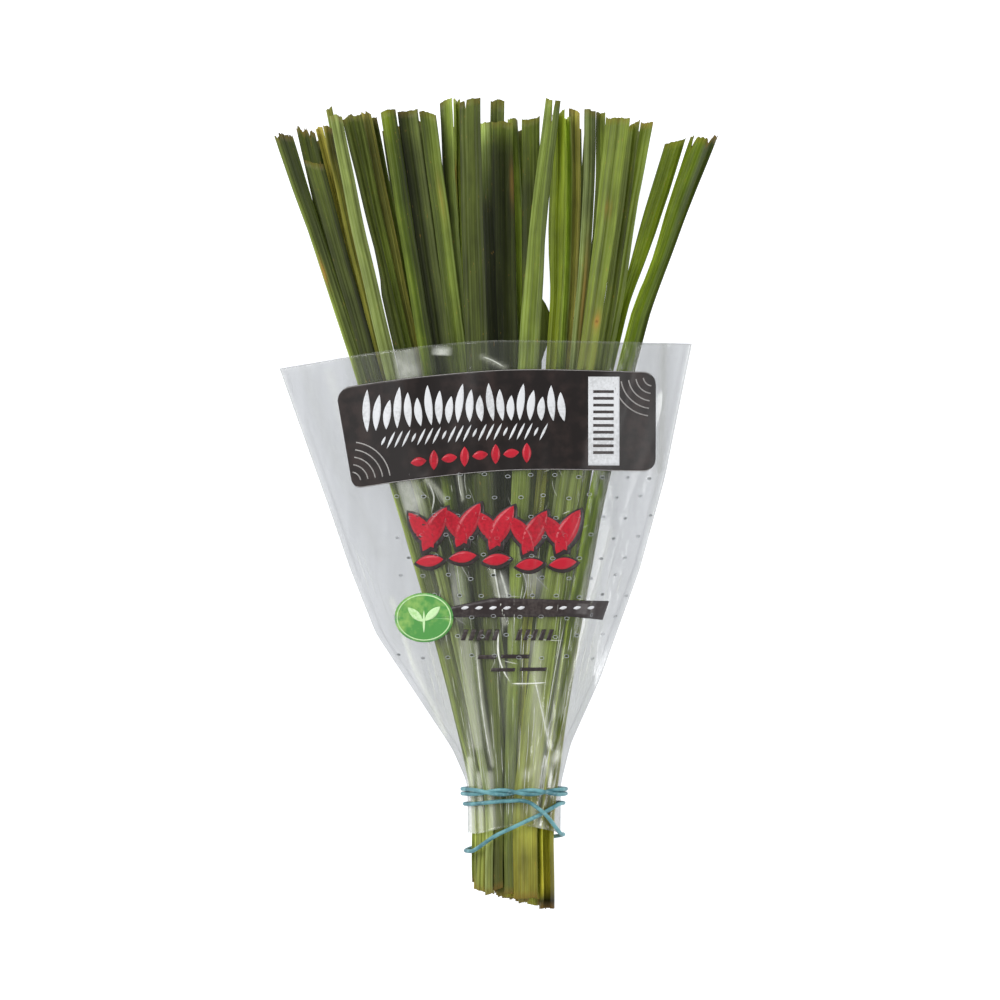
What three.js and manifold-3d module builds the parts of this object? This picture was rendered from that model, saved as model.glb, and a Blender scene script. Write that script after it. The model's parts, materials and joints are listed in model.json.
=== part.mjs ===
// A bunch of cut lemongrass lying on its back in a clear film sleeve, held by two rubber bands.
// Every leaf is its own solid. Units are millimetres: X runs across the bunch, Y runs along it towards
// the cut leaf tops, Z rises from the table. The origin is on the table, under the middle of the bunch.
import * as THREE from "three";
import Module from "manifold-3d";
import { mergeVertices } from "three/addons/utils/BufferGeometryUtils.js";

const wasm = await Module();
wasm.setup();

// The bunch. Its leaves lie in rows, one on another, and each row has its own share of the depth.
const rowCount = 8;
const neckY = -118; // where the bands pull the bunch together
const mouthY = 65.5; // where the leaves come out of the sleeve
const topY = 150; // where the positions of the leaf tops are given
const footY = -160; // about where the butts are cut
const neckX = 8;
const footShrink = 0.98; // width of the bunch at its butts, as a share of the neck's
const neckSpread = 0.75; // how fast leaves spread from the neck, as a share of their mean up to the mouth
const bunchLeft = { neck: -8.8, mouth: -62, top: -88 };
const bunchRight = { neck: 24.2, mouth: 62, top: 88 };
const bunchDepth = { foot: 20.5, neck: 21, mouth: 27, top: 32 };
const sideSlump = { foot: 0.1, neck: 0.12, mouth: 0.35, top: 0.45 }; // share of the depth lost at its sides

// Leaf walls and the clearances between pieces
const marginThick = 0.6;
const bladeThick = 0.75;
const ribThick = 1.15; // over the midrib
const leafGap = 0.35;
const leafStations = [0, 0.128, 0.23, 0.36, 0.5, 0.64, 0.78, 0.9, 1];

// The sleeve and what is on it
const filmThick = 0.5;
const filmGap = 0.7; // from the film to the leaves
const bandGap = 0.3; // from the film to the bands
const labelGap = 0.45; // from the film to the label and the sticker
const weldWidth = 3;
const filmColumns = 22;
// Sections of the film, as shares of its length from its foot
const filmStations = [
  0, 0.045, 0.087, 0.12, 0.16, 0.21, 0.27, 0.34, 0.41, 0.48, 0.55, 0.62, 0.69, 0.76, 0.84, 0.92, 1,
];
const sleeveLeft = [
  [-141, -10.6], [-111.5, -11.2], [-98, -17.2], [-75, -32.5], [-52, -47.8], [-26.4, -58], [-0.4, -67],
  [54.2, -86.5], [66, -90.6],
];
const sleeveRight = [
  [-141, 26.2], [-112, 26.4], [-96, 30.4], [-70.4, 42], [-26.4, 58], [9.6, 68], [64.8, 79.2], [66, 79.5],
];
const weldHeight = [[-141, 12], [-114, 12.5], [-80, 9], [-46, 6.5], [0, 4.5], [66, 3.2]];
const labelThick = 0.6;
const labelCorner = 5;
const labelEnds = { left: -60.4, right: 64.4, lean: 5.2 }; // its left end leans out towards the mouth
const labelTop = [[-60, 46.4], [-55.2, 47.2], [-27.2, 51], [-2, 53.2], [64.4, 52.8]];
const labelFoot = [[-58, 6.2], [-54, 6.8], [-27.2, 10.4], [-2, 12.9], [64.4, 13.1]];
const sticker = { x: -28.4, y: -45.4, halfWide: 11.8, halfHigh: 9.9 };

// The two bands are each wound round twice. Their strands are given over the front, as x and y.
const bandRadius = 0.9;
const bandSides = 7;
const bandSteps = 84;
const twist = { y: -114.9, radius: 0.95, halfTurns: 3, from: -9, to: 25 };
const strandOver = [[-10.6, -120], [0.8, -118.6], [11.6, -118.1], [14, -118.8], [19.2, -123.3], [26.6, -132]];
const strandUnder = [[-9.2, -138.8], [-0.4, -132.4], [7, -129], [19.2, -123.3], [25.8, -119.6]];
const crossing = { x: 19.2, reach: 6.5, lift: 2 };
const frontFrom = 0.15; // share of a round, from under the bunch up its left side, at which the front starts
const frontTo = 0.65;

// How high the lowest row lies: over film and band at the neck, over film alone at the mouth
const bunchFloor = { foot: 3, neck: 2.7, mouth: 0.45, top: 0.1 };

// One leaf a line: top x, height of its cut top, x at the mouth, width at the top and at the mouth,
// share of the row's width at the neck, fold and tone. A fold above 0 is a trough, below 0 a ridge,
// and 1 takes the row's whole height. Rows go from the front, which faces up, down to the table.
const rows = [
  [
    [-62.6, 154.6, -44.4, 5, 6, 4, 0.5, "pale"],
    [-9.8, 160.8, -7.4, 8.4, 9, 5, -0.45, "mid"],
    [21.8, 161.2, 13.2, 6.2, 7.2, 4.5, -0.6, "light"],
    [48.6, 154, 37.8, 9.6, 6.8, 12.5, 0.4, "light"],
  ],
  [
    [-76, 136.8, -52.4, 7.6, 6.4, 4.5, -0.5, "mid"],
    [-41.6, 156.8, -28.2, 6.2, 6, 5, -0.8, "bright"],
    [-26.2, 156, -15.2, 6.6, 6.6, 5, 0.4, "light"],
    [26, 156.2, 23.4, 4, 3.6, 4, 0.7, "bright"],
    [38, 157, 33, 4.6, 4.6, 5, -0.5, "pale"],
    [55.2, 152, 43.6, 4.8, 4.8, 4, 0.5, "mid"],
  ],
  [
    [-84.8, 147.6, -57.6, 6.8, 6, 5.2, -0.9, "dark"],
    [-58, 154.4, -38.8, 4.6, 5, 4.2, 0.6, "dark"],
    [-34, 157.2, -21.8, 8.2, 7.6, 5.8, 0.35, "dark"],
    [-19.2, 161, -13, 5, 5, 4, -0.7, "light"],
    [28.8, 154, 26.8, 3.4, 4, 3.6, 0.8, "light"],
    [60.6, 152.8, 46, 5.2, 4.8, 5, -0.6, "light"],
  ],
  [
    [-75.6, 149.6, -54.8, 6.6, 6, 5, 0.5, "mid"],
    [-66.8, 150.8, -47.6, 3.6, 3.8, 4, 0.8, "brown"],
    [-54.6, 155.6, -36.4, 5, 5.2, 5, -0.6, "dark"],
    [-5.2, 152, -2, 6.8, 6.6, 6, 0.5, "pale"],
    [31.8, 157.2, 29.2, 4.4, 4.6, 5, -0.7, "brown"],
    [73.4, 145.2, 49.6, 6.4, 6.6, 6, -0.3, "bright"],
  ],
  [
    [-70.4, 150.4, -48.4, 3, 3.6, 4, 0.9, "brown"],
    [-50.4, 156, -33.2, 4, 4.2, 4.5, -0.8, "brown"],
    [-15.2, 161.6, -12, 2.8, 3.4, 4, 0.9, "mid"],
    [2.8, 152.4, 4, 8.8, 10.2, 8, 0.6, "dark"],
    [14.4, 154.4, 14, 7.2, 6.8, 6, -0.5, "mid"],
    [42.4, 156.8, 38, 3.8, 4.4, 5, 0.6, "dark"],
    [63, 150, 48, 4.4, 4.4, 5, -0.6, "mid"],
  ],
  [
    [-64.8, 158.8, -46, 2.8, 4, 4.5, -0.8, "dark"],
    [-48.4, 155.2, -31.6, 4, 4.2, 4.5, 0.7, "dark"],
    [-30, 153, -17.2, 6.4, 6.4, 6, -0.4, "mid"],
    [0.8, 161.2, 1.2, 5.6, 5.6, 5, 0.5, "mid"],
    [7.2, 154, 11, 4, 4.4, 4.5, -0.8, "light"],
    [37, 152, 31, 5.6, 5.6, 5.5, 0.5, "mid"],
    [60, 149, 45.6, 5.4, 5.4, 5.5, -0.5, "dark"],
  ],
  [
    [-73, 146, -54, 6, 6, 5.5, 0.4, "dark"],
    [-55.6, 151, -37, 6, 6.2, 5.5, -0.6, "mid"],
    [-36, 152, -22, 7, 7, 6, 0.5, "mid"],
    [-8, 151, -5, 7.4, 7.4, 6, -0.4, "dark"],
    [11, 150, 10, 6.6, 6.6, 6, 0.6, "mid"],
    [47, 150, 38, 7.4, 7.4, 6, -0.5, "mid"],
    [80, 140, 54.4, 6, 6, 5.5, 0.4, "dark"],
  ],
  [
    [-70.6, 140, -52.4, 6.4, 6.4, 4.5, 0.4, "mid"],
    [-42, 150, -28, 7, 7, 5, -0.5, "dark"],
    [-18, 151, -12, 7, 7, 5, 0.4, "mid"],
    [1, 149, 2, 7, 7, 5, -0.5, "light"],
    [31.6, 150, 29, 6.4, 6.4, 5, 0.5, "dark"],
    [58, 148, 45, 6.8, 6.8, 5, -0.4, "mid"],
  ],
];
const rowNeckReach = [0.72, 0.93, 0.98, 1, 1, 0.98, 0.9, 0.7]; // share of the neck's width, from the front

// The stalk is one rolled leaf at the right of the front rows: tight as a tube at its butt, open at its top
const stalk = {
  neckX: 21, mouthX: 55.4, topX: 83.4, topCut: 146.6, footCut: -161.6,
  width: { foot: 17.4, neck: 17, mouth: 13.6, top: 14.5 }, // of the leaf, rolled out
  curl: { foot: 310, neck: 300, mouth: 195, top: 170 }, // the roll's arc, in degrees
  wall: 0.7, level: 0.6, points: 9,
};
const stalkRoom = 7; // what the front rows leave free for it at the neck
const rowsBesideStalk = 4;

const tones = {
  dark: 0x3f4d2b, mid: 0x5b7434, light: 0x8ba05c, bright: 0x5f8a16, pale: 0x9fb074, brown: 0x6f6a3a,
  stalk: 0x7a8636,
};

let seed = 41;
function draw(low, high) {
  seed = (seed * 16807) % 2147483647;
  return low + ((high - low) * seed) / 2147483647;
}

function mix(a, b, t) {
  return a + (b - a) * t;
}

function clamp01(t) {
  return Math.min(1, Math.max(0, t));
}

function smooth(t) {
  const c = clamp01(t);
  return c * c * (3 - 2 * c);
}

// A value given at the butts, the neck, the mouth and the tops, between which it changes smoothly
function along(values, y) {
  if (y < neckY) return mix(values.neck, values.foot, clamp01((neckY - y) / (neckY - footY)));
  if (y < mouthY) return mix(values.neck, values.mouth, smooth((y - neckY) / (mouthY - neckY)));
  return mix(values.mouth, values.top, (y - mouthY) / (topY - mouthY));
}

// A straight-sided table of [y, value] pairs
function piecewise(table, y) {
  let i = 1;
  while (i < table.length - 1 && table[i][0] < y) i += 1;
  const [y0, v0] = table[i - 1];
  const [y1, v1] = table[i];
  return mix(v0, v1, clamp01((y - y0) / (y1 - y0)));
}

// x along a leaf's run: straight below the neck, then one cubic through its places at mouth and top
function runX(run, y) {
  const slope = ((run.neck - neckX) * (1 - footShrink)) / (neckY - footY);
  if (y < neckY) return run.neck + slope * (y - neckY);
  const span = topY - neckY;
  const m = (mouthY - neckY) / span;
  const rise = (neckSpread * (run.mouth - run.neck)) / m;
  const atTop = run.top - run.neck - rise;
  const atMouth = (run.mouth - run.neck - rise * m) / (m * m);
  const cubic = (atTop - atMouth) / (1 - m);
  const t = (y - neckY) / span;
  return run.neck + rise * t + (atTop - cubic) * t * t + cubic * t * t * t;
}

// How much of the depth is left at x: the bunch is fullest in its middle
function fullness(x, y) {
  const left = runX(bunchLeft, y);
  const right = runX(bunchRight, y);
  const q = (x - (left + right) / 2) / ((right - left) / 2);
  return 1 - along(sideSlump, y) * Math.min(1, q * q);
}

// Height over the table at x, y of a level in the bunch, from 0 at its underside to 1 at its top
function levelHeight(x, y, level) {
  return along(bunchFloor, y) + along(bunchDepth, y) * fullness(x, y) * level;
}

// A row shares out its width at the neck, and each leaf takes its place there from its share
function placedRow(row, index) {
  const reach = rowNeckReach[index];
  const middle = (bunchLeft.neck + bunchRight.neck) / 2;
  const half = (bunchRight.neck - bunchLeft.neck) / 2;
  const left = middle - half * reach;
  const limit = index < rowsBesideStalk ? bunchRight.neck - stalkRoom : bunchRight.neck;
  const right = Math.min(middle + half * reach, limit);
  const free = right - left - leafGap * (row.length - 1);
  const shares = row.reduce((sum, leaf) => sum + leaf[5], 0);
  let edge = left;
  return row.map(([top, cut, mouth, topWide, mouthWide, share, fold, tone], i) => {
    const neckWide = (free * share) / shares;
    const x = edge + neckWide / 2;
    edge += neckWide + leafGap;
    return {
      name: `leaf_${rowCount - index}_${i + 1}`,
      run: { neck: x, mouth, top },
      wide: { foot: neckWide * footShrink, neck: neckWide, mouth: mouthWide, top: topWide },
      topCut: cut,
      footCut: -152.6 - 0.26 * (x - bunchLeft.neck) + draw(-1.6, 1.6),
      skew: draw(-1.4, 1.4),
      peak: draw(-1.6, 2),
      footSkew: draw(-0.8, 0.8),
      tilt: draw(-1, 1),
      fold,
      tone,
      row: rowCount - 1 - index,
    };
  });
}

// Upper and lower z of a leaf's wall at s across it, from -1 at its left margin to 1 at its right
function leafWall(leaf, y, s) {
  const wide = along(leaf.wide, y);
  const middle = runX(leaf.run, y);
  const x = middle + (s * wide) / 2;
  const outer = Math.min(fullness(middle - wide / 2, y), fullness(middle + wide / 2, y));
  const slot = (along(bunchDepth, y) * outer) / rowCount;
  const room = Math.max(0.02, slot - leafGap - ribThick);
  const rise = room * Math.abs(leaf.fold);
  const tilt = (room - rise) * 0.5 * leaf.tilt;
  const shape = Math.pow(Math.abs(s), 1.25) - 0.5;
  const centre = levelHeight(x, y, (leaf.row + 0.5) / rowCount);
  const upper = centre + ribThick / 2 + Math.sign(leaf.fold) * rise * shape + tilt * s;
  const bare = Math.abs(s);
  const thick = bare > 0.9 ? marginThick : bare > 0.3 ? bladeThick : ribThick;
  return { x, upper, lower: upper - thick };
}

// Joins rings of equal length into one closed body with flat ends
function loft(rings) {
  const count = rings[0].length;
  const positions = rings.flat(2);
  const index = [];
  for (let r = 0; r + 1 < rings.length; r += 1) {
    for (let i = 0; i < count; i += 1) {
      const a = r * count + i;
      const b = r * count + ((i + 1) % count);
      index.push(a, b, a + count, b, b + count, a + count);
    }
  }
  const cap = (start, flip) => {
    // A ring runs along its upper side and back along its lower one, so its ends pair off
    for (let i = 0; i < count / 2 - 1; i += 1) {
      const [a, b] = [start + i, start + i + 1];
      const [d, c] = [start + count - 1 - i, start + count - 2 - i];
      if (flip) index.push(a, b, c, a, c, d);
      else index.push(a, c, b, a, d, c);
    }
  };
  cap(0, false);
  cap((rings.length - 1) * count, true);
  const geometry = new THREE.BufferGeometry();
  geometry.setAttribute("position", new THREE.Float32BufferAttribute(positions, 3));
  geometry.setIndex(index);
  return geometry;
}

// A ring from paired upper and lower points, seen from the butts: left to right on top, then back below
function ringOf(pairs) {
  return [...pairs.map((p) => p.upper), ...pairs.map((p) => p.lower).reverse()];
}

function leafGeometry(leaf) {
  const across = [-1, -0.5, 0, 0.5, 1];
  const rings = leafStations.map((t) => {
    const flat = mix(leaf.footCut, leaf.topCut, t);
    return ringOf(
      across.map((s) => {
        const topEdge = leaf.skew * s + leaf.peak * (1 - Math.abs(s));
        const cut = t === 0 ? leaf.footSkew * s : t === 1 ? topEdge : 0;
        const y = flat + cut;
        const wall = leafWall(leaf, y, s);
        return { upper: [wall.x, y, wall.upper], lower: [wall.x, y, wall.lower] };
      }),
    );
  });
  return loft(rings);
}

// The rolled leaf: its section is an arc that opens from a tube at the butt to a deep trough at the top
function stalkSection(y) {
  const curl = THREE.MathUtils.degToRad(along(stalk.curl, y));
  const radius = along(stalk.width, y) / curl;
  const middle = runX({ neck: stalk.neckX, mouth: stalk.mouthX, top: stalk.topX }, y);
  const base = levelHeight(middle, y, stalk.level) + leafGap;
  const pairs = [];
  for (let i = 0; i < stalk.points; i += 1) {
    const angle = curl * (i / (stalk.points - 1) - 0.5);
    const inner = radius - stalk.wall;
    pairs.push({
      upper: [middle + inner * Math.sin(angle), y, base + radius - inner * Math.cos(angle)],
      lower: [middle + radius * Math.sin(angle), y, base + radius - radius * Math.cos(angle)],
    });
  }
  return pairs;
}

function stalkGeometry() {
  return loft(leafStations.map((t) => ringOf(stalkSection(mix(stalk.footCut, stalk.topCut, t)))));
}

const leaves = rows.flatMap(placedRow);

// Corners of every leaf's section at y, which the film wraps
function bunchCorners(y) {
  const corners = [];
  leaves.forEach((leaf) => {
    [-1, 0, 1].forEach((s) => {
      const wall = leafWall(leaf, y, s);
      corners.push([wall.x, wall.upper], [wall.x, wall.lower]);
    });
  });
  stalkSection(y).forEach((p) => corners.push([p.lower[0], p.lower[2]]));
  return corners;
}

// The taut line over (side 1) or under (side -1) a set of points, from left to right
function tautLine(points, side) {
  const sorted = [...points].sort((a, b) => a[0] - b[0] || side * (a[1] - b[1]));
  const line = [];
  sorted.forEach((p) => {
    while (line.length > 1) {
      const [a, b] = line.slice(-2);
      const turn = (b[0] - a[0]) * (p[1] - a[1]) - (b[1] - a[1]) * (p[0] - a[0]);
      if (side * turn < 0) break;
      line.pop();
    }
    line.push(p);
  });
  return line;
}

function heightOn(line, x) {
  let i = 1;
  while (i < line.length - 1 && line[i][0] < x) i += 1;
  const [x0, z0] = line[i - 1];
  const [x1, z1] = line[i];
  return mix(z0, z1, clamp01((x - x0) / Math.max(1e-9, x1 - x0)));
}

// The film's front and back lines at y, out to its welded edges: its outer face, or its inner one
const wraps = new Map();
function filmWrap(y, face) {
  const key = `${face} ${y.toFixed(3)}`;
  if (wraps.has(key)) return wraps.get(key);
  const inner = face === "inner";
  const grow = inner ? filmGap : filmGap + filmThick;
  const inset = inner ? mix(filmThick, weldWidth, smooth((y - neckY) / 40)) : 0;
  const left = piecewise(sleeveLeft, y) + inset;
  const right = piecewise(sleeveRight, y) - inset;
  const half = inner ? 0.1 : filmThick + 0.1;
  const height = piecewise(weldHeight, y);
  const grown = bunchCorners(y).flatMap(([x, z]) =>
    [0, 1, 2, 3, 4, 5, 6, 7].map((k) => {
      const angle = (k * Math.PI) / 4;
      return [x + grow * Math.cos(angle), z + grow * Math.sin(angle)];
    }),
  );
  const ends = (sign) => [[left, height + sign * half], [right, height + sign * half]];
  const wrap = {
    left,
    right,
    front: tautLine([...grown, ...ends(1)], 1),
    back: tautLine([...grown, ...ends(-1)], -1),
    table: inner ? filmThick : 0, // the back lies flat where its taut line would pass below this
  };
  wraps.set(key, wrap);
  return wrap;
}

function rimTop(s) {
  return 65.2 - 10.8 * Math.pow(clamp01(1 - s / 0.52), 1.1) - 0.8 * clamp01((s - 0.6) / 0.4);
}

function rimFoot(s) {
  if (s < 0.16) return mix(-140, -131.6, smooth(s / 0.16));
  if (s < 0.5) return mix(-131.6, -128.4, smooth((s - 0.16) / 0.34));
  return mix(-128.4, -132.4, smooth((s - 0.5) / 0.5));
}

// Even places along a taut line, closer together where it turns
function placesOn(line, count) {
  const turnWeight = 9; // how many millimetres a turn of one radian counts for
  const headings = line.slice(1).map((p, i) => Math.atan2(p[1] - line[i][1], p[0] - line[i][0]));
  const turns = [0, ...headings.slice(1).map((h, i) => Math.abs(h - headings[i])), 0];
  const measure = [0];
  headings.forEach((_, i) => {
    const length = Math.hypot(line[i + 1][0] - line[i][0], line[i + 1][1] - line[i][1]);
    measure.push(measure[i] + length + (turnWeight * (turns[i] + turns[i + 1])) / 2);
  });
  const places = [];
  let k = 0;
  for (let i = 0; i <= count; i += 1) {
    const at = (measure[measure.length - 1] * i) / count;
    while (k < line.length - 2 && measure[k + 1] <= at) k += 1;
    const t = clamp01((at - measure[k]) / (measure[k + 1] - measure[k]));
    places.push([mix(line[k][0], line[k + 1][0], t), mix(line[k][1], line[k + 1][1], t)]);
  }
  return places;
}

// One skin of the sleeve, closed at both ends; the inner one runs past the rims, to cut them open
function filmSkin(face, overrun) {
  const rings = filmStations.map((share) => {
    const t = mix(-overrun, 1 + overrun, share);
    const middleY = mix(rimFoot(0.5), rimTop(0.5), t);
    const level = filmWrap(middleY, face);
    const point = (side, i) => {
      const column = placesOn(level[side], filmColumns)[i][0];
      const s = clamp01((column - level.left) / (level.right - level.left));
      const y = mix(rimFoot(s), rimTop(s), t);
      const wrap = filmWrap(y, face);
      const [x, z] = placesOn(wrap[side], filmColumns)[i];
      return [x, y, Math.max(wrap.table, z)];
    };
    const pairs = [];
    for (let i = 0; i <= filmColumns; i += 1) {
      pairs.push({ upper: point("front", i), lower: point("back", i) });
    }
    return ringOf(pairs);
  });
  return loft(rings);
}

function solidOf(geometry) {
  const merged = mergeVertices(geometry, 1e-4);
  return new wasm.Manifold(
    new wasm.Mesh({
      numProp: 3,
      vertProperties: merged.attributes.position.array,
      triVerts: new Uint32Array(merged.index.array),
    }),
  );
}

function geometryOf(solid) {
  const { vertProperties, triVerts } = solid.getMesh();
  const geometry = new THREE.BufferGeometry();
  geometry.setAttribute("position", new THREE.BufferAttribute(vertProperties, 3));
  geometry.setIndex(new THREE.BufferAttribute(triVerts, 1));
  return geometry;
}

function sleeveGeometry() {
  const outer = solidOf(filmSkin("outer", 0));
  const inner = solidOf(filmSkin("inner", 0.02));
  return geometryOf(outer.subtract(inner));
}

// A thin sheet on the film's front, from stations across it, each with its lower and upper edge and lean
function sheetOnFilm(stations, steps) {
  const rings = stations.map((station) => {
    const pairs = [];
    for (let i = 0; i <= steps; i += 1) {
      const x = station.x - station.lean * (i / steps - 0.5);
      const y = mix(station.low, station.high, i / steps);
      const front = heightOn(filmWrap(y, "outer").front, x);
      pairs.push({
        upper: [x, y, front + labelGap + labelThick],
        lower: [x, y, front + labelGap],
      });
    }
    return ringOf(pairs.reverse());
  });
  return loft(rings);
}

function labelGeometry() {
  const steps = 18;
  const { left, right, lean } = labelEnds;
  const stations = [];
  for (let i = 0; i <= steps; i += 1) {
    const s = mix(i / steps, (1 - Math.cos((Math.PI * i) / steps)) / 2, 0.7);
    const x = mix(left, right, s);
    const inside = Math.min(1, Math.min(x - left, right - x) / labelCorner);
    const round = labelCorner * (1 - Math.sqrt(1 - (1 - inside) * (1 - inside)));
    stations.push({
      x,
      low: piecewise(labelFoot, x) + round,
      high: piecewise(labelTop, x) - round,
      lean: lean * (1 - s) ** 4,
    });
  }
  return sheetOnFilm(stations, 7);
}

function stickerGeometry() {
  const stations = [];
  for (let i = 0; i <= 10; i += 1) {
    const angle = Math.PI * mix(0.05, 0.95, i / 10);
    const half = sticker.halfHigh * Math.sin(angle);
    stations.push({
      x: sticker.x - sticker.halfWide * Math.cos(angle),
      low: sticker.y - half,
      high: sticker.y + half,
      lean: 0,
    });
  }
  return sheetOnFilm(stations, 5);
}

// The closed line that a strand's middle follows round the film at y: from under the bunch up its left
// side, over its front and down its right side, with the outward direction at each point
const outlines = new Map();
function strandOutline(y) {
  const at = Math.round(y * 4) / 4;
  if (outlines.has(at)) return outlines.get(at);
  const wrap = filmWrap(at, "outer");
  const corners = [...wrap.front, ...wrap.back];
  const off = bandGap + bandRadius;
  const points = [];
  const directions = 96;
  for (let i = 0; i <= directions; i += 1) {
    const angle = (2 * Math.PI * (i + 0.5)) / directions;
    const out = [-Math.sin(angle), -Math.cos(angle)];
    const reach = corners.map(([x, z]) => x * out[0] + z * out[1]);
    const [x, z] = corners[reach.indexOf(Math.max(...reach))];
    points.push({ x: x + off * out[0], z: z + off * out[1], out });
  }
  const lengths = [0];
  for (let i = 1; i < points.length; i += 1) {
    const [p, q] = [points[i - 1], points[i]];
    lengths.push(lengths[i - 1] + Math.hypot(q.x - p.x, q.z - p.z));
  }
  const outline = { points, lengths };
  outlines.set(at, outline);
  return outline;
}

// A strand's point at a share of the way round, at y, and lifted off the film
function strandPoint(share, y, lift) {
  const { points, lengths } = strandOutline(y);
  const at = share * lengths[lengths.length - 1];
  let i = 1;
  while (i < lengths.length - 1 && lengths[i] < at) i += 1;
  const t = clamp01((at - lengths[i - 1]) / Math.max(1e-9, lengths[i] - lengths[i - 1]));
  const [p, q] = [points[i - 1], points[i]];
  const out = [mix(p.out[0], q.out[0], t), mix(p.out[1], q.out[1], t)];
  return { x: mix(p.x, q.x, t) + lift * out[0], y, z: mix(p.z, q.z, t) + lift * out[1], out };
}

// A band's centre line: its two rounds, each of which says how y and the lift go
function bandPath(passes) {
  const samples = 300;
  return passes.flatMap((pass) => {
    const path = [];
    for (let i = 0; i < samples; i += 1) {
      const share = i / samples;
      const { y, lift } = pass(strandPoint(share, neckY, 0), share);
      path.push(strandPoint(share, y, lift));
    }
    return path;
  });
}

// Even steps along a closed path, closer where it turns sharply
function resampled(path, count) {
  const measure = [0];
  path.forEach((p, i) => {
    const q = path[(i + 1) % path.length];
    const turn = Math.hypot(q.out[0] - p.out[0], q.out[1] - p.out[1]);
    measure.push(measure[i] + Math.hypot(q.x - p.x, q.y - p.y, q.z - p.z) + 5 * turn);
  });
  const total = measure[path.length];
  const result = [];
  let k = 0;
  for (let i = 0; i < count; i += 1) {
    const at = (total * i) / count;
    while (measure[k + 1] <= at) k += 1;
    const t = (at - measure[k]) / (measure[k + 1] - measure[k]);
    const [p, q] = [path[k], path[(k + 1) % path.length]];
    result.push({
      at: new THREE.Vector3(mix(p.x, q.x, t), mix(p.y, q.y, t), mix(p.z, q.z, t)),
      out: new THREE.Vector3(mix(p.out[0], q.out[0], t), 0, mix(p.out[1], q.out[1], t)).normalize(),
    });
  }
  return result;
}

function bandGeometry(passes) {
  const path = resampled(bandPath(passes), bandSteps);
  const positions = [];
  const index = [];
  path.forEach(({ at, out }, i) => {
    const ahead = path[(i + 1) % path.length].at;
    const behind = path[(i + path.length - 1) % path.length].at;
    const forward = ahead.clone().sub(behind).normalize();
    const across = new THREE.Vector3().crossVectors(out, forward).normalize();
    const up = new THREE.Vector3().crossVectors(forward, across);
    for (let k = 0; k < bandSides; k += 1) {
      const angle = (2 * Math.PI * k) / bandSides;
      const point = at
        .clone()
        .addScaledVector(up, bandRadius * Math.cos(angle))
        .addScaledVector(across, bandRadius * Math.sin(angle));
      positions.push(point.x, point.y, Math.max(0, point.z));
      const next = (k + 1) % bandSides;
      const [a, b] = [i * bandSides, ((i + 1) % path.length) * bandSides];
      index.push(a + k, b + k, a + next, a + next, b + k, b + next);
    }
  });
  const geometry = new THREE.BufferGeometry();
  geometry.setAttribute("position", new THREE.Float32BufferAttribute(positions, 3));
  geometry.setIndex(index);
  return geometry;
}

// The upper band's two rounds twist round each other over the front and lie side by side elsewhere
function twistedPass(sign) {
  return ({ x, out }, share) => {
    const front = share > frontFrom && share < frontTo;
    const t = clamp01((x - twist.from) / (twist.to - twist.from));
    const turn = (front ? t : share < 0.5 ? 0 : 1) * twist.halfTurns * Math.PI;
    return {
      y: twist.y + sign * twist.radius * Math.cos(turn),
      lift: smooth(2 * out[1] + 1) * twist.radius * (1 + sign * Math.sin(turn)),
    };
  };
}

// The lower band's two rounds cross once over the front. Behind, each runs on to where the next one starts.
function crossedPass(strand, before, after, over) {
  const end = strand[strand.length - 1][1];
  return ({ x }, share) => {
    if (share > frontFrom && share < frontTo) {
      const away = Math.min(1, Math.abs(x - crossing.x) / crossing.reach);
      return { y: piecewise(strand, x), lift: over ? crossing.lift * (1 - away * away) ** 2 : 0 };
    }
    const ended = share >= frontTo;
    const behind = (share - frontTo + (ended ? 0 : 1)) / (1 - frontTo + frontFrom);
    return { y: ended ? mix(end, after, behind) : mix(before, strand[0][1], behind), lift: 0 };
  };
}

function upperBandGeometry() {
  return bandGeometry([twistedPass(1), twistedPass(-1)]);
}

function lowerBandGeometry() {
  const ends = (strand) => [strand[0][1], strand[strand.length - 1][1]];
  const [overStart, overEnd] = ends(strandOver);
  const [underStart, underEnd] = ends(strandUnder);
  return bandGeometry([
    crossedPass(strandOver, underEnd, underStart, true),
    crossedPass(strandUnder, overEnd, overStart, false),
  ]);
}

const bunch = new THREE.Group();

function add(name, geometry, colour, roughness, look = {}) {
  geometry.computeVertexNormals();
  const material = new THREE.MeshStandardMaterial({ color: colour, roughness, metalness: 0, ...look });
  const mesh = new THREE.Mesh(geometry, material);
  mesh.name = name;
  bunch.add(mesh);
}

leaves.forEach((leaf) => add(leaf.name, leafGeometry(leaf), tones[leaf.tone], 0.55));
add("rolled_leaf", stalkGeometry(), tones.stalk, 0.5);
add("sleeve", sleeveGeometry(), 0xdde4ea, 0.15, { transparent: true, opacity: 0.3 });
add("band_upper", upperBandGeometry(), 0x6fb4b8, 0.6);
add("band_lower", lowerBandGeometry(), 0x6fb4b8, 0.6);
add("label", labelGeometry(), 0x3a3434, 0.35);
add("sticker", stickerGeometry(), 0x6fb95a, 0.4);

export default bunch;
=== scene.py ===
# A bunch of cut lemongrass in a clear film sleeve: its looks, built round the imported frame. Lengths
# in the dictionaries are in millimetres, as in the part's own drawing, and meshes are in metres.
import json
import math
import random

import bmesh
import bpy
import numpy as np
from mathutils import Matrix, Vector
from mathutils.bvhtree import BVHTree


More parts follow.
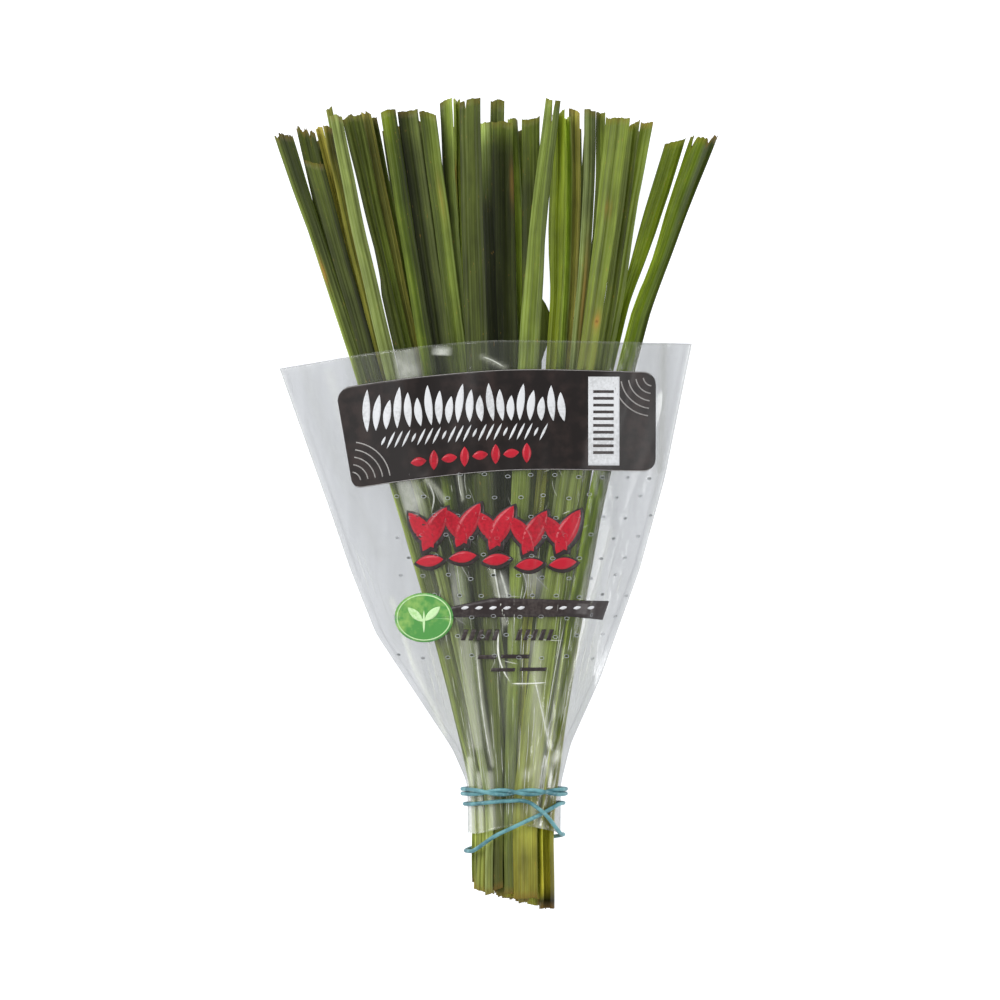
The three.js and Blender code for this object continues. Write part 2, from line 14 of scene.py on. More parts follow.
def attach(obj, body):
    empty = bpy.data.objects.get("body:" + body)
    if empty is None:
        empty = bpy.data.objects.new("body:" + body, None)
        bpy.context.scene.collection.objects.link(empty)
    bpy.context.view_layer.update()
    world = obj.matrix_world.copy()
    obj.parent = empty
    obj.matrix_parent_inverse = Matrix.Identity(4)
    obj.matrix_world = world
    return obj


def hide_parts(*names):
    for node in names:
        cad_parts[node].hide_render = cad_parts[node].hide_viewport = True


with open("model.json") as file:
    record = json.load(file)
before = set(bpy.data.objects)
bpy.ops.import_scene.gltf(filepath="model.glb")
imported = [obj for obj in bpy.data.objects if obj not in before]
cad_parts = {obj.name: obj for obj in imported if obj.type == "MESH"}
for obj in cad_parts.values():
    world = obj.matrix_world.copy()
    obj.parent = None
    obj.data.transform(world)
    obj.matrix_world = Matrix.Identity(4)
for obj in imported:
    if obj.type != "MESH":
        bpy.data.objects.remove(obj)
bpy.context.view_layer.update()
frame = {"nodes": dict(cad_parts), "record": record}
print("frame loaded:", len(frame["nodes"]), "nodes")

mm = 0.001  # in metres
overhead = 0.08  # a height above the whole bunch, in metres
fullWave = 6.28  # radians
slotOf = {part["node"]: part["material_slot"] for part in frame["record"]["subparts"]}


def linearColour(code):
    channels = [int(code[i:i + 2], 16) / 255 for i in (1, 3, 5)]
    linear = [c / 12.92 if c <= 0.04045 else ((c + 0.055) / 1.055) ** 2.4 for c in channels]
    return (*linear, 1.0)


# A node with its settings. An input takes a value, an output, or a node for its first output.
def addNode(tree, kind, settings=None, inputs=None):
    node = tree.nodes.new(kind)
    for name, value in (settings or {}).items():
        setattr(node, name, value)
    for socket, value in (inputs or {}).items():
        if isinstance(value, bpy.types.Node):
            value = value.outputs[0]
        if isinstance(value, bpy.types.NodeSocket):
            tree.links.new(value, node.inputs[socket])
        else:
            node.inputs[socket].default_value = value
    return node


def newMaterial(name):
    material = bpy.data.materials.new(name)
    material.use_nodes = True
    material.node_tree.nodes.clear()
    return material, material.node_tree


# The shader goes to the output, through a mix with clear where an opacity is given
def finishMaterial(tree, shader, opacity=None):
    if opacity is not None:
        clear = addNode(tree, "ShaderNodeBsdfTransparent")
        shader = addNode(tree, "ShaderNodeMixShader", {}, {0: opacity, 1: clear, 2: shader})
    addNode(tree, "ShaderNodeOutputMaterial", {}, {"Surface": shader})


def linkObject(name, data):
    obj = bpy.data.objects.new(name, data)
    bpy.context.scene.collection.objects.link(obj)
    return obj


def smoothStep(value, low, high):
    t = np.clip((value - low) / (high - low), 0, 1)
    return t * t * (3 - 2 * t)


def tableAt(table, value):
    return np.interp(value, *zip(*table))


# Cubic through the knots, with slopes taken from their neighbours, along the first axis of values
def curveThrough(knots, values, at):
    slopes = np.gradient(values, knots, axis=0)
    i = np.clip(np.searchsorted(knots, at) - 1, 0, len(knots) - 2)
    step = knots[i + 1] - knots[i]
    shape = np.shape(at) + (1,) * (values.ndim - 1)
    t = ((at - knots[i]) / step).reshape(shape)
    step = step.reshape(shape)
    return (
        values[i] * (2 * t**3 - 3 * t**2 + 1)
        + slopes[i] * step * (t**3 - 2 * t**2 + t)
        + values[i + 1] * (3 * t**2 - 2 * t**3)
        + slopes[i + 1] * step * (t**3 - t**2)
    )


# A smooth line through a table of pairs
def curveOf(table, at):
    knots, values = (np.array(column, float) for column in zip(*table))
    return curveThrough(knots, values, np.clip(at, knots[0], knots[-1]))


# x and z of a surface's columns at the heights y of their points; the surface is known at levels
def columnsAt(levels, surface, y):
    return (
        np.stack([np.interp(y[:, k], levels, surface[:, k, i]) for k in range(y.shape[1])], axis=1)
        for i in (0, 1)
    )


# Faces between closed rings of points
def ringFaces(rows, count):
    return [
        (r * count + i, r * count + j, (r + 1) * count + j, (r + 1) * count + i)
        for r in range(rows - 1)
        for i, j in zip(range(count), [*range(1, count), 0])
    ]


# A mesh object from points in millimetres, with the faces of a closed one turned outwards
def meshObject(name, points, faces, closed=True):
    mesh = bpy.data.meshes.new(name)
    mesh.from_pydata((np.asarray(points) * mm).tolist(), [], faces)
    if closed:
        shape = bmesh.new()
        shape.from_mesh(mesh)
        bmesh.ops.recalc_face_normals(shape, faces=shape.faces)
        shape.to_mesh(mesh)
        shape.free()
    mesh.polygons.foreach_set("use_smooth", [True] * len(mesh.polygons))
    return linkObject(name, mesh)


def setPointValues(obj, name, kind, values):
    attribute = obj.data.attributes.new(name, kind, "POINT")
    field = "vector" if kind == "FLOAT_VECTOR" else "value"
    attribute.data.foreach_set(field, np.asarray(values, np.float32).ravel())


# UVs in millimetres, from one pair of numbers for each point
def setPatternUv(obj, name, pairs):
    layer = obj.data.uv_layers.new(name=name)
    corners = np.zeros(len(obj.data.loops), np.int32)
    obj.data.loops.foreach_get("vertex_index", corners)
    layer.data.foreach_set("uv", np.asarray(pairs, np.float32)[corners].ravel())


def dress(obj, material, slotName, *nodeNames):
    obj.data.materials.clear()
    obj.data.materials.append(material)
    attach(obj, "root")
    if nodeNames:
        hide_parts(*nodeNames)


# The different corners of a frame node, in millimetres
def nodeCorners(name):
    mesh = frame["nodes"][name].data
    points = np.zeros(len(mesh.vertices) * 3)
    mesh.vertices.foreach_get("co", points)
    return np.unique(np.round(points.reshape(-1, 3) / mm, 3), axis=0)


leafShape = {
    "rowsFront": 96, "columnsFront": 30,  # of the mesh, in the rows that show
    "rowsBack": 60, "columnsBack": 18,
    "thickness": 0.42,
    "ribDepth": 0.26, "ribHalfWidth": 0.55,
    "flute": 0.07, "fluteSpacing": 1.5,  # lengthwise ribbing between the veins
    "sway": 0.14, "swayLength": 42, "swell": 0.1,  # how a blade wanders sideways and up and down
    "straightCut": 0.6,  # how near the cut ends are to straight lines
    "raggedTop": 0.5, "raggedFoot": 0.2,
    "seed": 7,
    "paleNeck": 1.1, "lightest": 3.9,  # how much lighter the leaves are along the neck, and the most for any leaf
    "dryLeast": 0.12, "dryMost": 0.7, "dryFoot": 0.35,  # how brown the cut ends are
}

# What stands out on the leaves that show:
# - "other" and "pale" weigh the tone's second and third colour from the left margin to the right;
#   besides the leaf's own tone, they paint shade on its darker side and a highlight on its lit one
# - "across" is how light the leaf is there: painted light on one side and painted shade on the other
# - "shade", "vivid" and "ripe": how light, how fresh green and how yellow at heights along it;
#   "shade" is partly the leaf's own tone and partly painted light and shade where it lies among
#   others
# - "dry" browns the cut top over that length, and "ragged" is how uneven the top is
# - "spots" are lesions, as (place across, height, half width, half length, weight)
# - "notches" are splits in the cut top, as (place across, half width, depth)
# - "trimLeft" and "trimRight" take that much off a margin at heights along it, or add it
leafLooks = {
    "leaf_8_1": {
        "other": (0.1, 0.3, 0.0, 0.8, 0.5), "pale": (1.0, 0.3, 0.6, 0.0, 0.3),
        "across": (1.05, 1.1, 1.1, 0.85, 0.78),
        "shade": [(-145, 1.15), (-94, 0.5), (-58, 0.5), (-16, 0.9), (60, 1.0), (150, 1.15)],
        "ripe": [(-150, 0.35), (-110, 0.1)],
    },
    "leaf_8_2": {
        "other": (0.5, 0.0, 0.3, 0.1, 0.6), "pale": (0.2, 0.0, 0.35, 0.0, 0.3),
        "shade": [(-145, 0.55), (-94, 0.5), (-58, 0.55), (-16, 0.65), (98, 0.68), (122, 0.76),
            (142, 0.86), (155, 1.0)],
        "notches": [(-0.42, 0.1, 4)],
    },
    "leaf_8_3": {
        "other": (0.3, 0.0, 0.15, 0.4, 1.0), "pale": (0.5, 0.4, 0.3, 0.1, 0.0),
        "shade": [(-150, 0.6), (-128, 0.5), (-112, 0.38), (-90, 0.42), (-58, 0.65), (-16, 1.4),
            (98, 1.1), (150, 1.2)],
        "notches": [(0.12, 0.16, 11)], "trimRight": [(78, -1.2), (92, -0.6), (104, 0)],
    },
    "leaf_8_4": {
        "other": (0.1, 0.0, 0.5, 0.1, 0.3), "pale": (0.3, 0.5, 0.1, 0.6, 0.2), "dry": 0.6,
        "shade": [(-150, 1.15), (-120, 0.75), (-60, 0.75), (-16, 1.1), (150, 1.15)],
        "vivid": [(20, 0.0), (120, 0.25)],
        "ripe": [(-160, 1.0), (-110, 0.5), (-60, 0.1), (40, 0.1), (60, 0.35), (90, 0.1)],
        "spots": [(-0.1, 118, 0.8, 3.2, 0.4), (0.3, 117, 0.7, 3.6, 0.25), (0.5, 73, 1.4, 3, 0.9)],
    },
    "leaf_7_1": {
        "other": (0.7, 0.2, 0.1, 0.6, 0.9), "pale": (0.1, 0.1, 0.1, 0.0, 0.0),
        "across": (0.75, 0.8, 1.15, 1.0, 0.85), "dry": 0.3,
        "shade": [(-150, 2.4), (-128, 1.6), (-94, 0.7), (-58, 0.8), (-16, 0.95), (60, 0.6),
            (98, 0.62), (122, 0.85), (142, 1.0)],
        "vivid": [(80, 0.0), (138, 0.3)],
    },
    "leaf_7_2": {
        "other": (0.1, 0.2, 0.5, 1.0, 1.0), "pale": (0.8, 0.2, 0.0, 0.0, 0.0),
        "across": (1.1, 1.1, 1.0, 0.6, 0.6), "ragged": -0.3,
        "shade": [(-94, 0.6), (-58, 0.7), (-16, 1.1), (98, 0.95), (122, 0.85), (142, 0.8),
            (152, 1.1)],
        "vivid": [(136, 0.0), (150, 0.8)],
    },
    "leaf_7_3": {
        "other": (1.0, 0.5, 0.0, 0.1, 0.4), "pale": (0.0, 0.1, 0.2, 0.2, 0.3),
        "across": (0.7, 0.8, 1.0, 1.0, 0.9),
        "shade": [(-145, 0.9), (-94, 1.1), (-58, 0.4), (-16, 1.0)],
        "spots": [(0.3, 122, 1.2, 9, 0.3)],
    },
    "leaf_7_4": {
        "other": (0.3, 0.1, 0.0, 0.0, 0.0), "pale": (0.0, 0.0, 0.0, 0.2, 0.3), "rim": 0.0,
        "shade": [(-94, 2.4), (-58, 1.3), (-16, 0.95), (40, 1.2), (98, 0.95), (122, 1.15),
            (142, 1.3), (155, 1.6)],
        "vivid": [(20, 0.5), (80, 1.3)], "ripe": [(20, 0.5), (90, 0.1)],
        "trimLeft": [(80, -0.6), (86, -0.8), (100, -2.0), (110, -2.4), (122, -2.4), (150, -1.0)],
    },
    "leaf_7_5": {
        "other": (0.0, 0.0, 0.6, 0.8, 0.2), "pale": (0.8, 0.5, 0.0, 0.0, 0.3),
        "across": (0.95, 0.95, 1.0, 0.85, 0.8),
        "shade": [(-16, 0.8), (20, 1.0), (98, 1.05), (122, 0.72), (142, 0.55), (152, 0.72)],
        "spots": [(0.3, 84, 1.2, 20, 0.4)],
    },
    "leaf_7_6": {
        "other": (0.0, 0.1, 0.2, 0.6, 1.0), "pale": (0.1, 0.1, 0.0, 0.0, 0.0), "dry": 1.0,
        "shade": [(-58, 1.9), (-16, 2.8), (60, 1.3), (98, 1.05), (122, 0.95), (142, 1.35),
            (152, 1.8)],
        "vivid": [(0, 0.5)],
    },
    "leaf_6_1": {
        "other": (0.0, 0.4, 0.9, 1.0, 0.5), "pale": (1.0, 0.2, 0.0, 0.0, 0.1),
        "across": (1.5, 1.2, 1.0, 1.0, 1.0), "ragged": 1.2,
        "shade": [(-145, 1.3), (-94, 1.0), (-58, 1.6), (-16, 2.8), (60, 1.8), (98, 1.6), (142, 1.1),
            (150, 0.9)],
        "spots": [(-0.62, 93, 0.9, 5, 1.0)], "trimLeft": [(110, 0), (142, -1.2)],
        "trimRight": [(0, 0.5)],
    },
    "leaf_6_2": {
        "other": (0.5, 0.1, 0.0, 0.3, 0.9), "pale": (0.0, 0.1, 0.3, 0.1, 0.0), "shade": [(0, 1.35)],
        "trimLeft": [(84, 0), (90, 0.9), (102, 1.3), (120, 0.8), (140, 0.2)],
    },
    "leaf_6_3": {
        "other": (1.0, 0.8, 0.4, 0.2, 0.4), "pale": (0.0, 0.0, 0.1, 0.6, 0.7),
        "across": (0.65, 0.85, 0.95, 1.05, 1.1),
        "shade": [(-94, 2.5), (-58, 1.1), (-16, 0.75), (98, 0.75), (142, 0.72), (152, 1.2)],
    },
    "leaf_6_4": {
        "other": (1.0, 0.7, 0.1, 0.0, 0.0), "pale": (0.0, 0.0, 0.3, 0.9, 1.0),
        "across": (0.4, 0.5, 0.9, 1.4, 1.7),
        "shade": [(-94, 1.7), (-58, 0.85), (98, 0.8), (122, 0.75), (137, 0.75), (150, 1.7)],
    },
    "leaf_6_5": {
        "other": (0.1, 0.2, 0.0, 0.5, 1.0), "pale": (0.2, 0.4, 0.9, 0.2, 0.0),
        "across": (0.55, 0.85, 1.9, 1.1, 0.7),
        "shade": [(-58, 1.0), (-16, 1.4), (60, 2.0), (142, 2.0), (150, 2.8)],
        "vivid": [(60, 0.3), (140, 0.8)],
    },
    "leaf_6_6": {
        "other": (0.9, 0.3, 0.0, 0.2, 0.1), "pale": (0.0, 0.1, 0.4, 0.4, 0.6), "dry": 1.6,
        "shade": [(-16, 2.2), (60, 1.1), (98, 1.05), (122, 1.25), (142, 1.35), (152, 1.1)],
        "vivid": [(40, 0.5)],
        "trimRight": [(78, 0), (92, 0.25), (106, 0.8), (122, 1.2), (142, 0.5), (150, 0.2)],
    },
    "leaf_5_1": {
        "other": (0.1, 0.0, 0.1, 0.3, 0.5), "pale": (0.3, 0.0, 0.0, 0.0, 0.0), "dry": 0.8,
        "ragged": 1.2, "shade": [(-145, 1.2), (-94, 0.9), (90, 0.6), (110, 0.85), (135, 0.55)],
        "vivid": [(100, 0.5)], "notches": [(0.35, 0.16, 3.5)], "trimLeft": [(0, -0.6)],
    },
    "leaf_5_2": {
        "other": (0.1, 0.1, 0.4, 0.8, 1.0), "pale": (0.5, 0.3, 0.0, 0.0, 0.0),
        "across": (1.1, 1.15, 1.0, 0.8, 0.6),
        "shade": [(88, 4.2), (98, 3.0), (122, 2.6), (142, 0.8), (150, 1.4)],
    },
    "leaf_5_3": {
        "other": (0.1, 0.0, 0.1, 0.3, 0.5), "pale": (0.3, 0.1, 0.0, 0.0, 0.0),
        "shade": [(98, 3.2), (122, 2.4), (142, 2.0)],
    },
    "leaf_5_4": {
        "other": (0.1, 0.4, 0.7, 0.8, 0.9), "pale": (0.1, 0.0, 0.0, 0.3, 0.3),
        "across": (1.1, 1.2, 1.0, 0.5, 0.35), "dry": 0.4,
        "shade": [(-16, 0.4), (98, 0.25), (118, 0.27), (130, 0.9), (142, 1.7), (150, 4.5)],
        "vivid": [(60, 0.3), (130, 0.3)],
    },
    "leaf_5_5": {
        "other": (0.4, 0.1, 0.0, 0.0, 0.0), "pale": (0.0, 0.0, 0.2, 1.0, 1.0),
        "across": (0.65, 0.75, 0.9, 2.6, 3.6), "dry": 0.5,
        "shade": [(98, 2.1), (122, 1.9), (142, 1.4), (150, 1.7)],
    },
    "leaf_5_6": {
        "other": (0.4, 0.2, 0.1, 0.0, 0.4), "pale": (0.0, 0.0, 0.0, 0.0, 0.3),
        "shade": [(0, 2.0), (98, 1.8), (109, 1.3), (122, 1.1), (142, 1.0), (150, 1.4)],
        "vivid": [(40, 0.7)], "trimLeft": [(0, -0.4)],
        "trimRight": [(81, 2.6), (88, 2.0), (98, 0.9), (110, -0.3), (124, -0.9)],
    },
    "leaf_4_1": {
        "other": (0.0, 0.0, 0.1, 0.3, 0.2), "pale": (1.0, 1.0, 1.0, 0.9, 0.5), "dry": 0.6,
        "shade": [(98, 6.5), (122, 6.5), (142, 5.5), (152, 4.0)], "ripe": [(100, 0.0), (142, 0.25)],
    },
    "leaf_4_2": {
        "other": (0.1, 0.1, 0.2, 0.3, 0.1), "pale": (0.3, 0.1, 0.0, 0.1, 0.6), "ragged": 0.9,
        "shade": [(98, 2.0), (122, 1.4), (142, 1.2), (150, 1.8)],
    },
    "leaf_4_3": {
        "other": (0.0, 0.0, 0.1, 0.7, 1.0), "pale": (1.0, 1.0, 0.6, 0.1, 0.0),
        "across": (1.3, 1.7, 1.7, 1.1, 1.0), "ragged": 1.0,
        "shade": [(98, 4.5), (122, 5.2), (142, 5.0), (152, 3.6)],
        "spots": [(-0.6, 132, 1.0, 6, 0.95), (-0.3, 124, 0.8, 5, 0.5)],
    },
    "leaf_4_4": {
        "other": (0.9, 0.6, 0.6, 0.5, 0.4), "pale": (0.1, 0.0, 0.0, 0.1, 0.2), "dry": 0.5,
        "shade": [(98, 0.8), (122, 0.65), (142, 0.9), (150, 3.2)],
        "spots": [(0.8, 128, 0.9, 9, 0.45)],
    },
    "leaf_4_5": {
        "other": (0.2, 0.1, 0.1, 0.2, 0.4), "pale": (0.0, 0.0, 0.0, 0.0, 0.0),
        "shade": [(83, 0.9), (98, 0.55), (122, 0.5), (142, 1.05), (152, 1.4)], "vivid": [(0, 0.4)],
        "trimRight": [(44, -1.0), (58, -1.5), (66, -4.6), (78, -4.2), (84, 0)],
    },
    "leaf_4_6": {
        "across": (0.45, 0.6, 1.2, 1.3, 1.3),
        "shade": [(98, 3.0), (122, 4.0), (142, 3.8), (152, 1.8)],
    },
    "leaf_4_7": {"trimLeft": [(0, -1.0)], "trimRight": [(98, 3.4), (122, 3.6), (142, 2.6)]},
    "leaf_3_1": {"shade": [(0, 2.4)]},
    "leaf_3_2": {
        "across": (1.4, 1.2, 1.1, 0.5, 0.4),
        "shade": [(98, 5.0), (122, 5.0), (142, 3.0), (152, 2.2)],
    },
    "leaf_3_4": {
        "other": (0.6, 0.2, 0.1, 0.2, 0.6), "pale": (0.1, 0.3, 0.5, 0.2, 0.0), "shade": [(0, 1.4)],
    },
    "leaf_3_5": {
        "across": (1.3, 1.1, 1.0, 0.7, 0.6),
        "shade": [(98, 3.2), (122, 3.0), (142, 1.9), (150, 1.4)],
    },
    "leaf_3_6": {"trimLeft": [(0, 1.6)]},
    "leaf_3_7": {"trimRight": [(0, 1.3)]},
    "leaf_2_5": {"shade": [(0, 2.0)]},
    "leaf_2_7": {"shade": [(0, 1.6)], "trimLeft": [(0, 2.8)]},
    "leaf_1_6": {"trimRight": [(0, 1.2)]},
    "rolled_leaf": {
        "other": (0.0, 0.0, 0.3, 1.0, 1.0), "pale": (0.6, 0.2, 0.0, 0.0, 0.1),
        "across": (1.05, 1.2, 1.25, 0.38, 0.25), "dry": 0.8, "ragged": 1.4,
        "shade": [(-164, 0.2), (-158, 0.22), (-153, 3.6), (-94, 1.7), (-58, 1.6), (-16, 2.6),
            (60, 1.7), (98, 1.8), (122, 1.25), (142, 1.2), (152, 1.3)],
        "vivid": [(-20, 0.2), (60, 0.5)], "ripe": [(-162, 1.0), (-128, 0.7), (-80, 0.2), (0, 0.0)],
        "notches": [(-0.5, 0.12, 4), (0.35, 0.1, 3)],
        "trimLeft": [(76, 0), (81, 0.4), (86, 0.8), (90, 1.4), (100, 2.0), (120, 1.4), (142, 0.5)],
        "trimRight": [(76, 0), (98, -1.0), (120, -2.0), (142, -2.4)],
    },
}
# "rim" is the margins' paleness: a painted highlight along them
plainLook = {  # of a leaf that has no such value of its own; "rim" is how pale its margins are
    "other": (0.2, 0.1, 0.1, 0.2, 0.4), "pale": (0.3, 0.1, 0.1, 0.1, 0.2),
    "across": (1, 1, 1, 1, 1),
    "shade": [(0, 1.0)], "vivid": [(0, 0.1)], "ripe": [(-150, 0.3), (-110, 0.05)],
    "rim": 0.35, "dry": 0.25, "ragged": 0.0, "spots": [], "notches": [],
    "trimLeft": [(0, 0)], "trimRight": [(0, 0)],
}


# The middle line of a leaf's section at each of its stations, from its left margin to its right
# one. The frame gives the corners of each section in pairs, one on each face of the leaf.
def leafSections(name):
    corners = nodeCorners(name)
    corners = corners[np.argsort(corners[:, 1], kind="stable")]
    rolled = name == "rolled_leaf"
    middle = []
    for ring in corners.reshape(-1, 18 if rolled else 10, 3):
        order = ring[:, 0]
        if rolled:  # a gutter, whose pairs lie on the same spokes
            x, z = (ring - ring[np.argmin(ring[:, 2])])[:, [0, 2]].T
            radius = np.max((x**2 + z**2)[z > 0.05] / (2 * z[z > 0.05]))
            order = np.arctan2(x, radius - z)
        middle.append(ring[np.argsort(order, kind="stable")].reshape(-1, 2, 3).mean(axis=1))
    return np.array(middle)


# The leaf's middle surface at some heights: for each of its columns, x and z
def leafColumns(sections, heights):
    columns = np.moveaxis(sections, 1, 0)
    return np.stack([curveThrough(c[:, 1], c[:, [0, 2]], heights) for c in columns], axis=1)


# The height of a cut end at places across the leaf: nearly straight, a little torn, with its splits
def endHeights(sections, places, look, rng, atTop):
    edge = sections[-1 if atTop else 0, :, 1]
    chord = edge[0] + (edge[-1] - edge[0]) * (places + 1) / 2
    straight = leafShape["straightCut"]
    curved = curveThrough(np.linspace(-1, 1, len(edge)), edge, places)
    end = (1 - straight) * curved + straight * chord
    uneven = look["ragged"] + leafShape["raggedTop"] if atTop else leafShape["raggedFoot"]
    coarse = np.interp(places, np.linspace(-1, 1, 7), rng.uniform(-1, 1, 7))
    fine = rng.uniform(-1, 1, len(places))
    end = end + uneven * (0.6 * coarse + 0.4 * fine)
    for place, half, depth in look["notches"] if atTop else []:
        end = end - depth * np.clip(1 - np.abs(places - place) / half, 0, 1)
    return end


# A closed blade from the grids of its two faces
def bladeMesh(name, uppers, lowers):
    rings = np.concatenate([uppers, lowers[:, -2:0:-1]], axis=1)
    rows, count = rings.shape[:2]
    last = uppers.shape[1] - 1
    faces = ringFaces(rows, count)
    for start in (0, (rows - 1) * count):  # the two cut ends
        faces.append((start, start + 1, start + count - 1))
        faces.append((start + last - 1, start + last, start + last + 1))
        for i in range(1, last - 1):
            faces.append((start + i, start + i + 1, start + count - 1 - i, start + count - i))
    return meshObject(name, rings.reshape(-1, 3), faces)


def makeLeaf(name, index):
    look = {**plainLook, **leafLooks.get(name, {})}
    rng = np.random.default_rng(leafShape["seed"] + index)
    front = not name.startswith(("leaf_1", "leaf_2", "leaf_3"))
    rowTotal = leafShape["rowsFront" if front else "rowsBack"]
    columnTotal = leafShape["columnsFront" if front else "columnsBack"]
    sections = leafSections(name)
    s = np.linspace(-1, 1, columnTotal + 1)
    s = np.sign(s) * np.abs(s) ** 0.9  # columns a little closer at the margins
    foot = endHeights(sections, s, look, rng, False)
    top = endHeights(sections, s, look, rng, True)
    levels = np.linspace(foot.min() - 1, top.max() + 1, rowTotal * 2)
    columns = np.moveaxis(leafColumns(sections, levels), 1, 0)
    surface = np.moveaxis(curveThrough(np.linspace(-1, 1, len(columns)), columns, s), 0, 1)
    y = foot + (top - foot) * np.linspace(0, 1, rowTotal + 1)[:, None]
    x, z = columnsAt(levels, surface, y)
    x = x + (tableAt(look["trimLeft"], y) * (1 - s) - tableAt(look["trimRight"], y) * (1 + s)) / 2
    steps = np.hypot(np.diff(x, axis=1, prepend=x[:, :1]), np.diff(z, axis=1, prepend=z[:, :1]))
    fromRib = np.cumsum(steps, axis=1)
    fromRib = fromRib - fromRib[:, [len(s) // 2]]
    phase = rng.uniform(0, fullWave, 6)
    length = leafShape["swayLength"]
    fading = 0.6 + 0.4 * np.sin(y / 17 + phase[1])
    x = x + leafShape["sway"] * np.sin(fullWave * y / length + phase[0]) * fading
    z = z + leafShape["swell"] * np.sin(fullWave * y / (length * 1.3) + phase[2] + 0.8 * s)
    drift = phase[3] + 0.5 * np.sin(y / 29 + phase[4])
    flutes = np.sin(fullWave * fromRib / leafShape["fluteSpacing"] + drift)
    rib = np.exp(-((fromRib / leafShape["ribHalfWidth"]) ** 2))
    dx, dz = np.gradient(x, axis=1), np.gradient(z, axis=1)
    facing = np.stack([-dz, 0 * dx, dx], axis=2) / np.hypot(dx, dz)[:, :, None]
    grid = np.stack([x, y, z], axis=2)
    ribbing = leafShape["flute"] * flutes * (1 - s**6)
    wall = leafShape["thickness"] / 2 * np.sqrt(np.clip(1 - np.abs(s) ** 8, 0, 1)) + 0 * x
    uppers = grid + facing * (ribbing + wall - leafShape["ribDepth"] * 0.7 * rib)[:, :, None]
    lowers = grid + facing * (ribbing - wall - leafShape["ribDepth"] * rib)[:, :, None]
    leaf = bladeMesh(name.replace("leaf", "blade"), uppers, lowers)

    # the same values again in the order of the mesh's points, round each ring
    order = np.concatenate([np.arange(len(s)), np.arange(len(s) - 2, 0, -1)])
    half, s, y, fromRib = fromRib[:, -1:], s[order], y[:, order], fromRib[:, order]
    weights = leafWeights(look, s, y, top[order], foot[order], half)
    setPointValues(leaf, "tint", "FLOAT_VECTOR", weights)
    # lightness by height and across the leaf: partly its own tone, partly painted light and shade
    shade, vivid, ripe = (tableAt(look[key], y) for key in ("shade", "vivid", "ripe"))
    shade = shade * np.interp(s, np.linspace(-1, 1, 5), look["across"])
    base = smoothStep(-y, 0, 70) * smoothStep(y, -142, -130)
    shade = shade * (1 + leafShape["paleNeck"] * base)  # lighter along the neck, down to just above the foot
    shade = np.minimum(shade, leafShape["lightest"] - weights[:, :, 2])
    setPointValues(leaf, "cast", "FLOAT_VECTOR", np.stack([shade, vivid, ripe], axis=2))
    shift = rng.uniform(0, 400, 2)
    pairs = np.stack([fromRib + shift[1], y + shift[0]], axis=2).reshape(-1, 2)
    setPatternUv(leaf, "blade", pairs)
    dress(leaf, bladeMaterials[slotOf[name]], slotOf[name], name)


# How much of the tone's second colour, of dry brown and of its pale colour shows at each point
def leafWeights(look, s, y, top, foot, half):
    across = np.linspace(-1, 1, 5)
    other, pale = (
        curveThrough(across, np.array(look[key], float), s) + 0 * y for key in ("other", "pale")
    )
    # paler margins: a painted highlight along them
    pale = np.maximum(pale, look["rim"] * smoothStep(np.abs(s), 0.93, 1.0))
    cut = look["dry"]
    brown = min(leafShape["dryLeast"] + 0.2 * cut, leafShape["dryMost"])
    dry = brown * smoothStep(y, top - cut - 0.4, top)
    dry = dry + leafShape["dryFoot"] * smoothStep(-y, -foot - 0.8, -foot)
    # paler lower down, towards the foot
    pale = pale + 0.35 * smoothStep(-y, 20, 100)
    for place, height, wide, tall, weight in look["spots"]:
        away = ((s - place) * half / wide) ** 2 + ((y - height) / tall) ** 2
        dry = np.maximum(dry, weight * np.exp(-away * 1.2))
    return np.clip(np.stack([other, dry, pale], axis=2), 0, 1)


# Fresh grass blades: a waxy skin over parallel veins, which gives a satin face with fine lengthwise
# streaks. Dry edges and spots are papery and duller.
bladeTones = {
    "leaf_dark": {"face": "#333d12", "other": "#1c2609", "pale": "#626e34", "roughness": 0.46},
    "leaf_mid": {"face": "#3c4717", "other": "#20280a", "pale": "#6e7b3e", "roughness": 0.44},
    "leaf_light": {"face": "#55651a", "other": "#33400c", "pale": "#7f8f4b", "roughness": 0.42},
    "leaf_bright": {"face": "#465904", "other": "#2b3a04", "pale": "#798934", "roughness": 0.42},
    "leaf_pale": {"face": "#63722d", "other": "#3d4a16", "pale": "#8e9c66", "roughness": 0.42},
    "leaf_brown": {"face": "#4b4d1a", "other": "#272a0b", "pale": "#80783b", "roughness": 0.5},
}
bladePattern = {
    # width and length of each noise, in mm, and its detail
    "veins": (0.34, 60, 1.5), "lines": (0.85, 110, 1.0), "streaks": (1.9, 90, 2.0),
    "mottle": (4.2, 14, 3.0), "speckle": (0.7, 2.8, 2.0),
    # how much of the second or the pale colour each adds
    "veinLight": 0.16, "veinDark": 0.24, "lineLight": 0.2, "lineDark": 0.26, "streakDark": 0.45,
    "bump": 0.14,
    "dryColour": "#9a7434", "dryDark": "#5d3a1c",
    "vividColour": "#627406", "ripeColour": "#74681c",
}


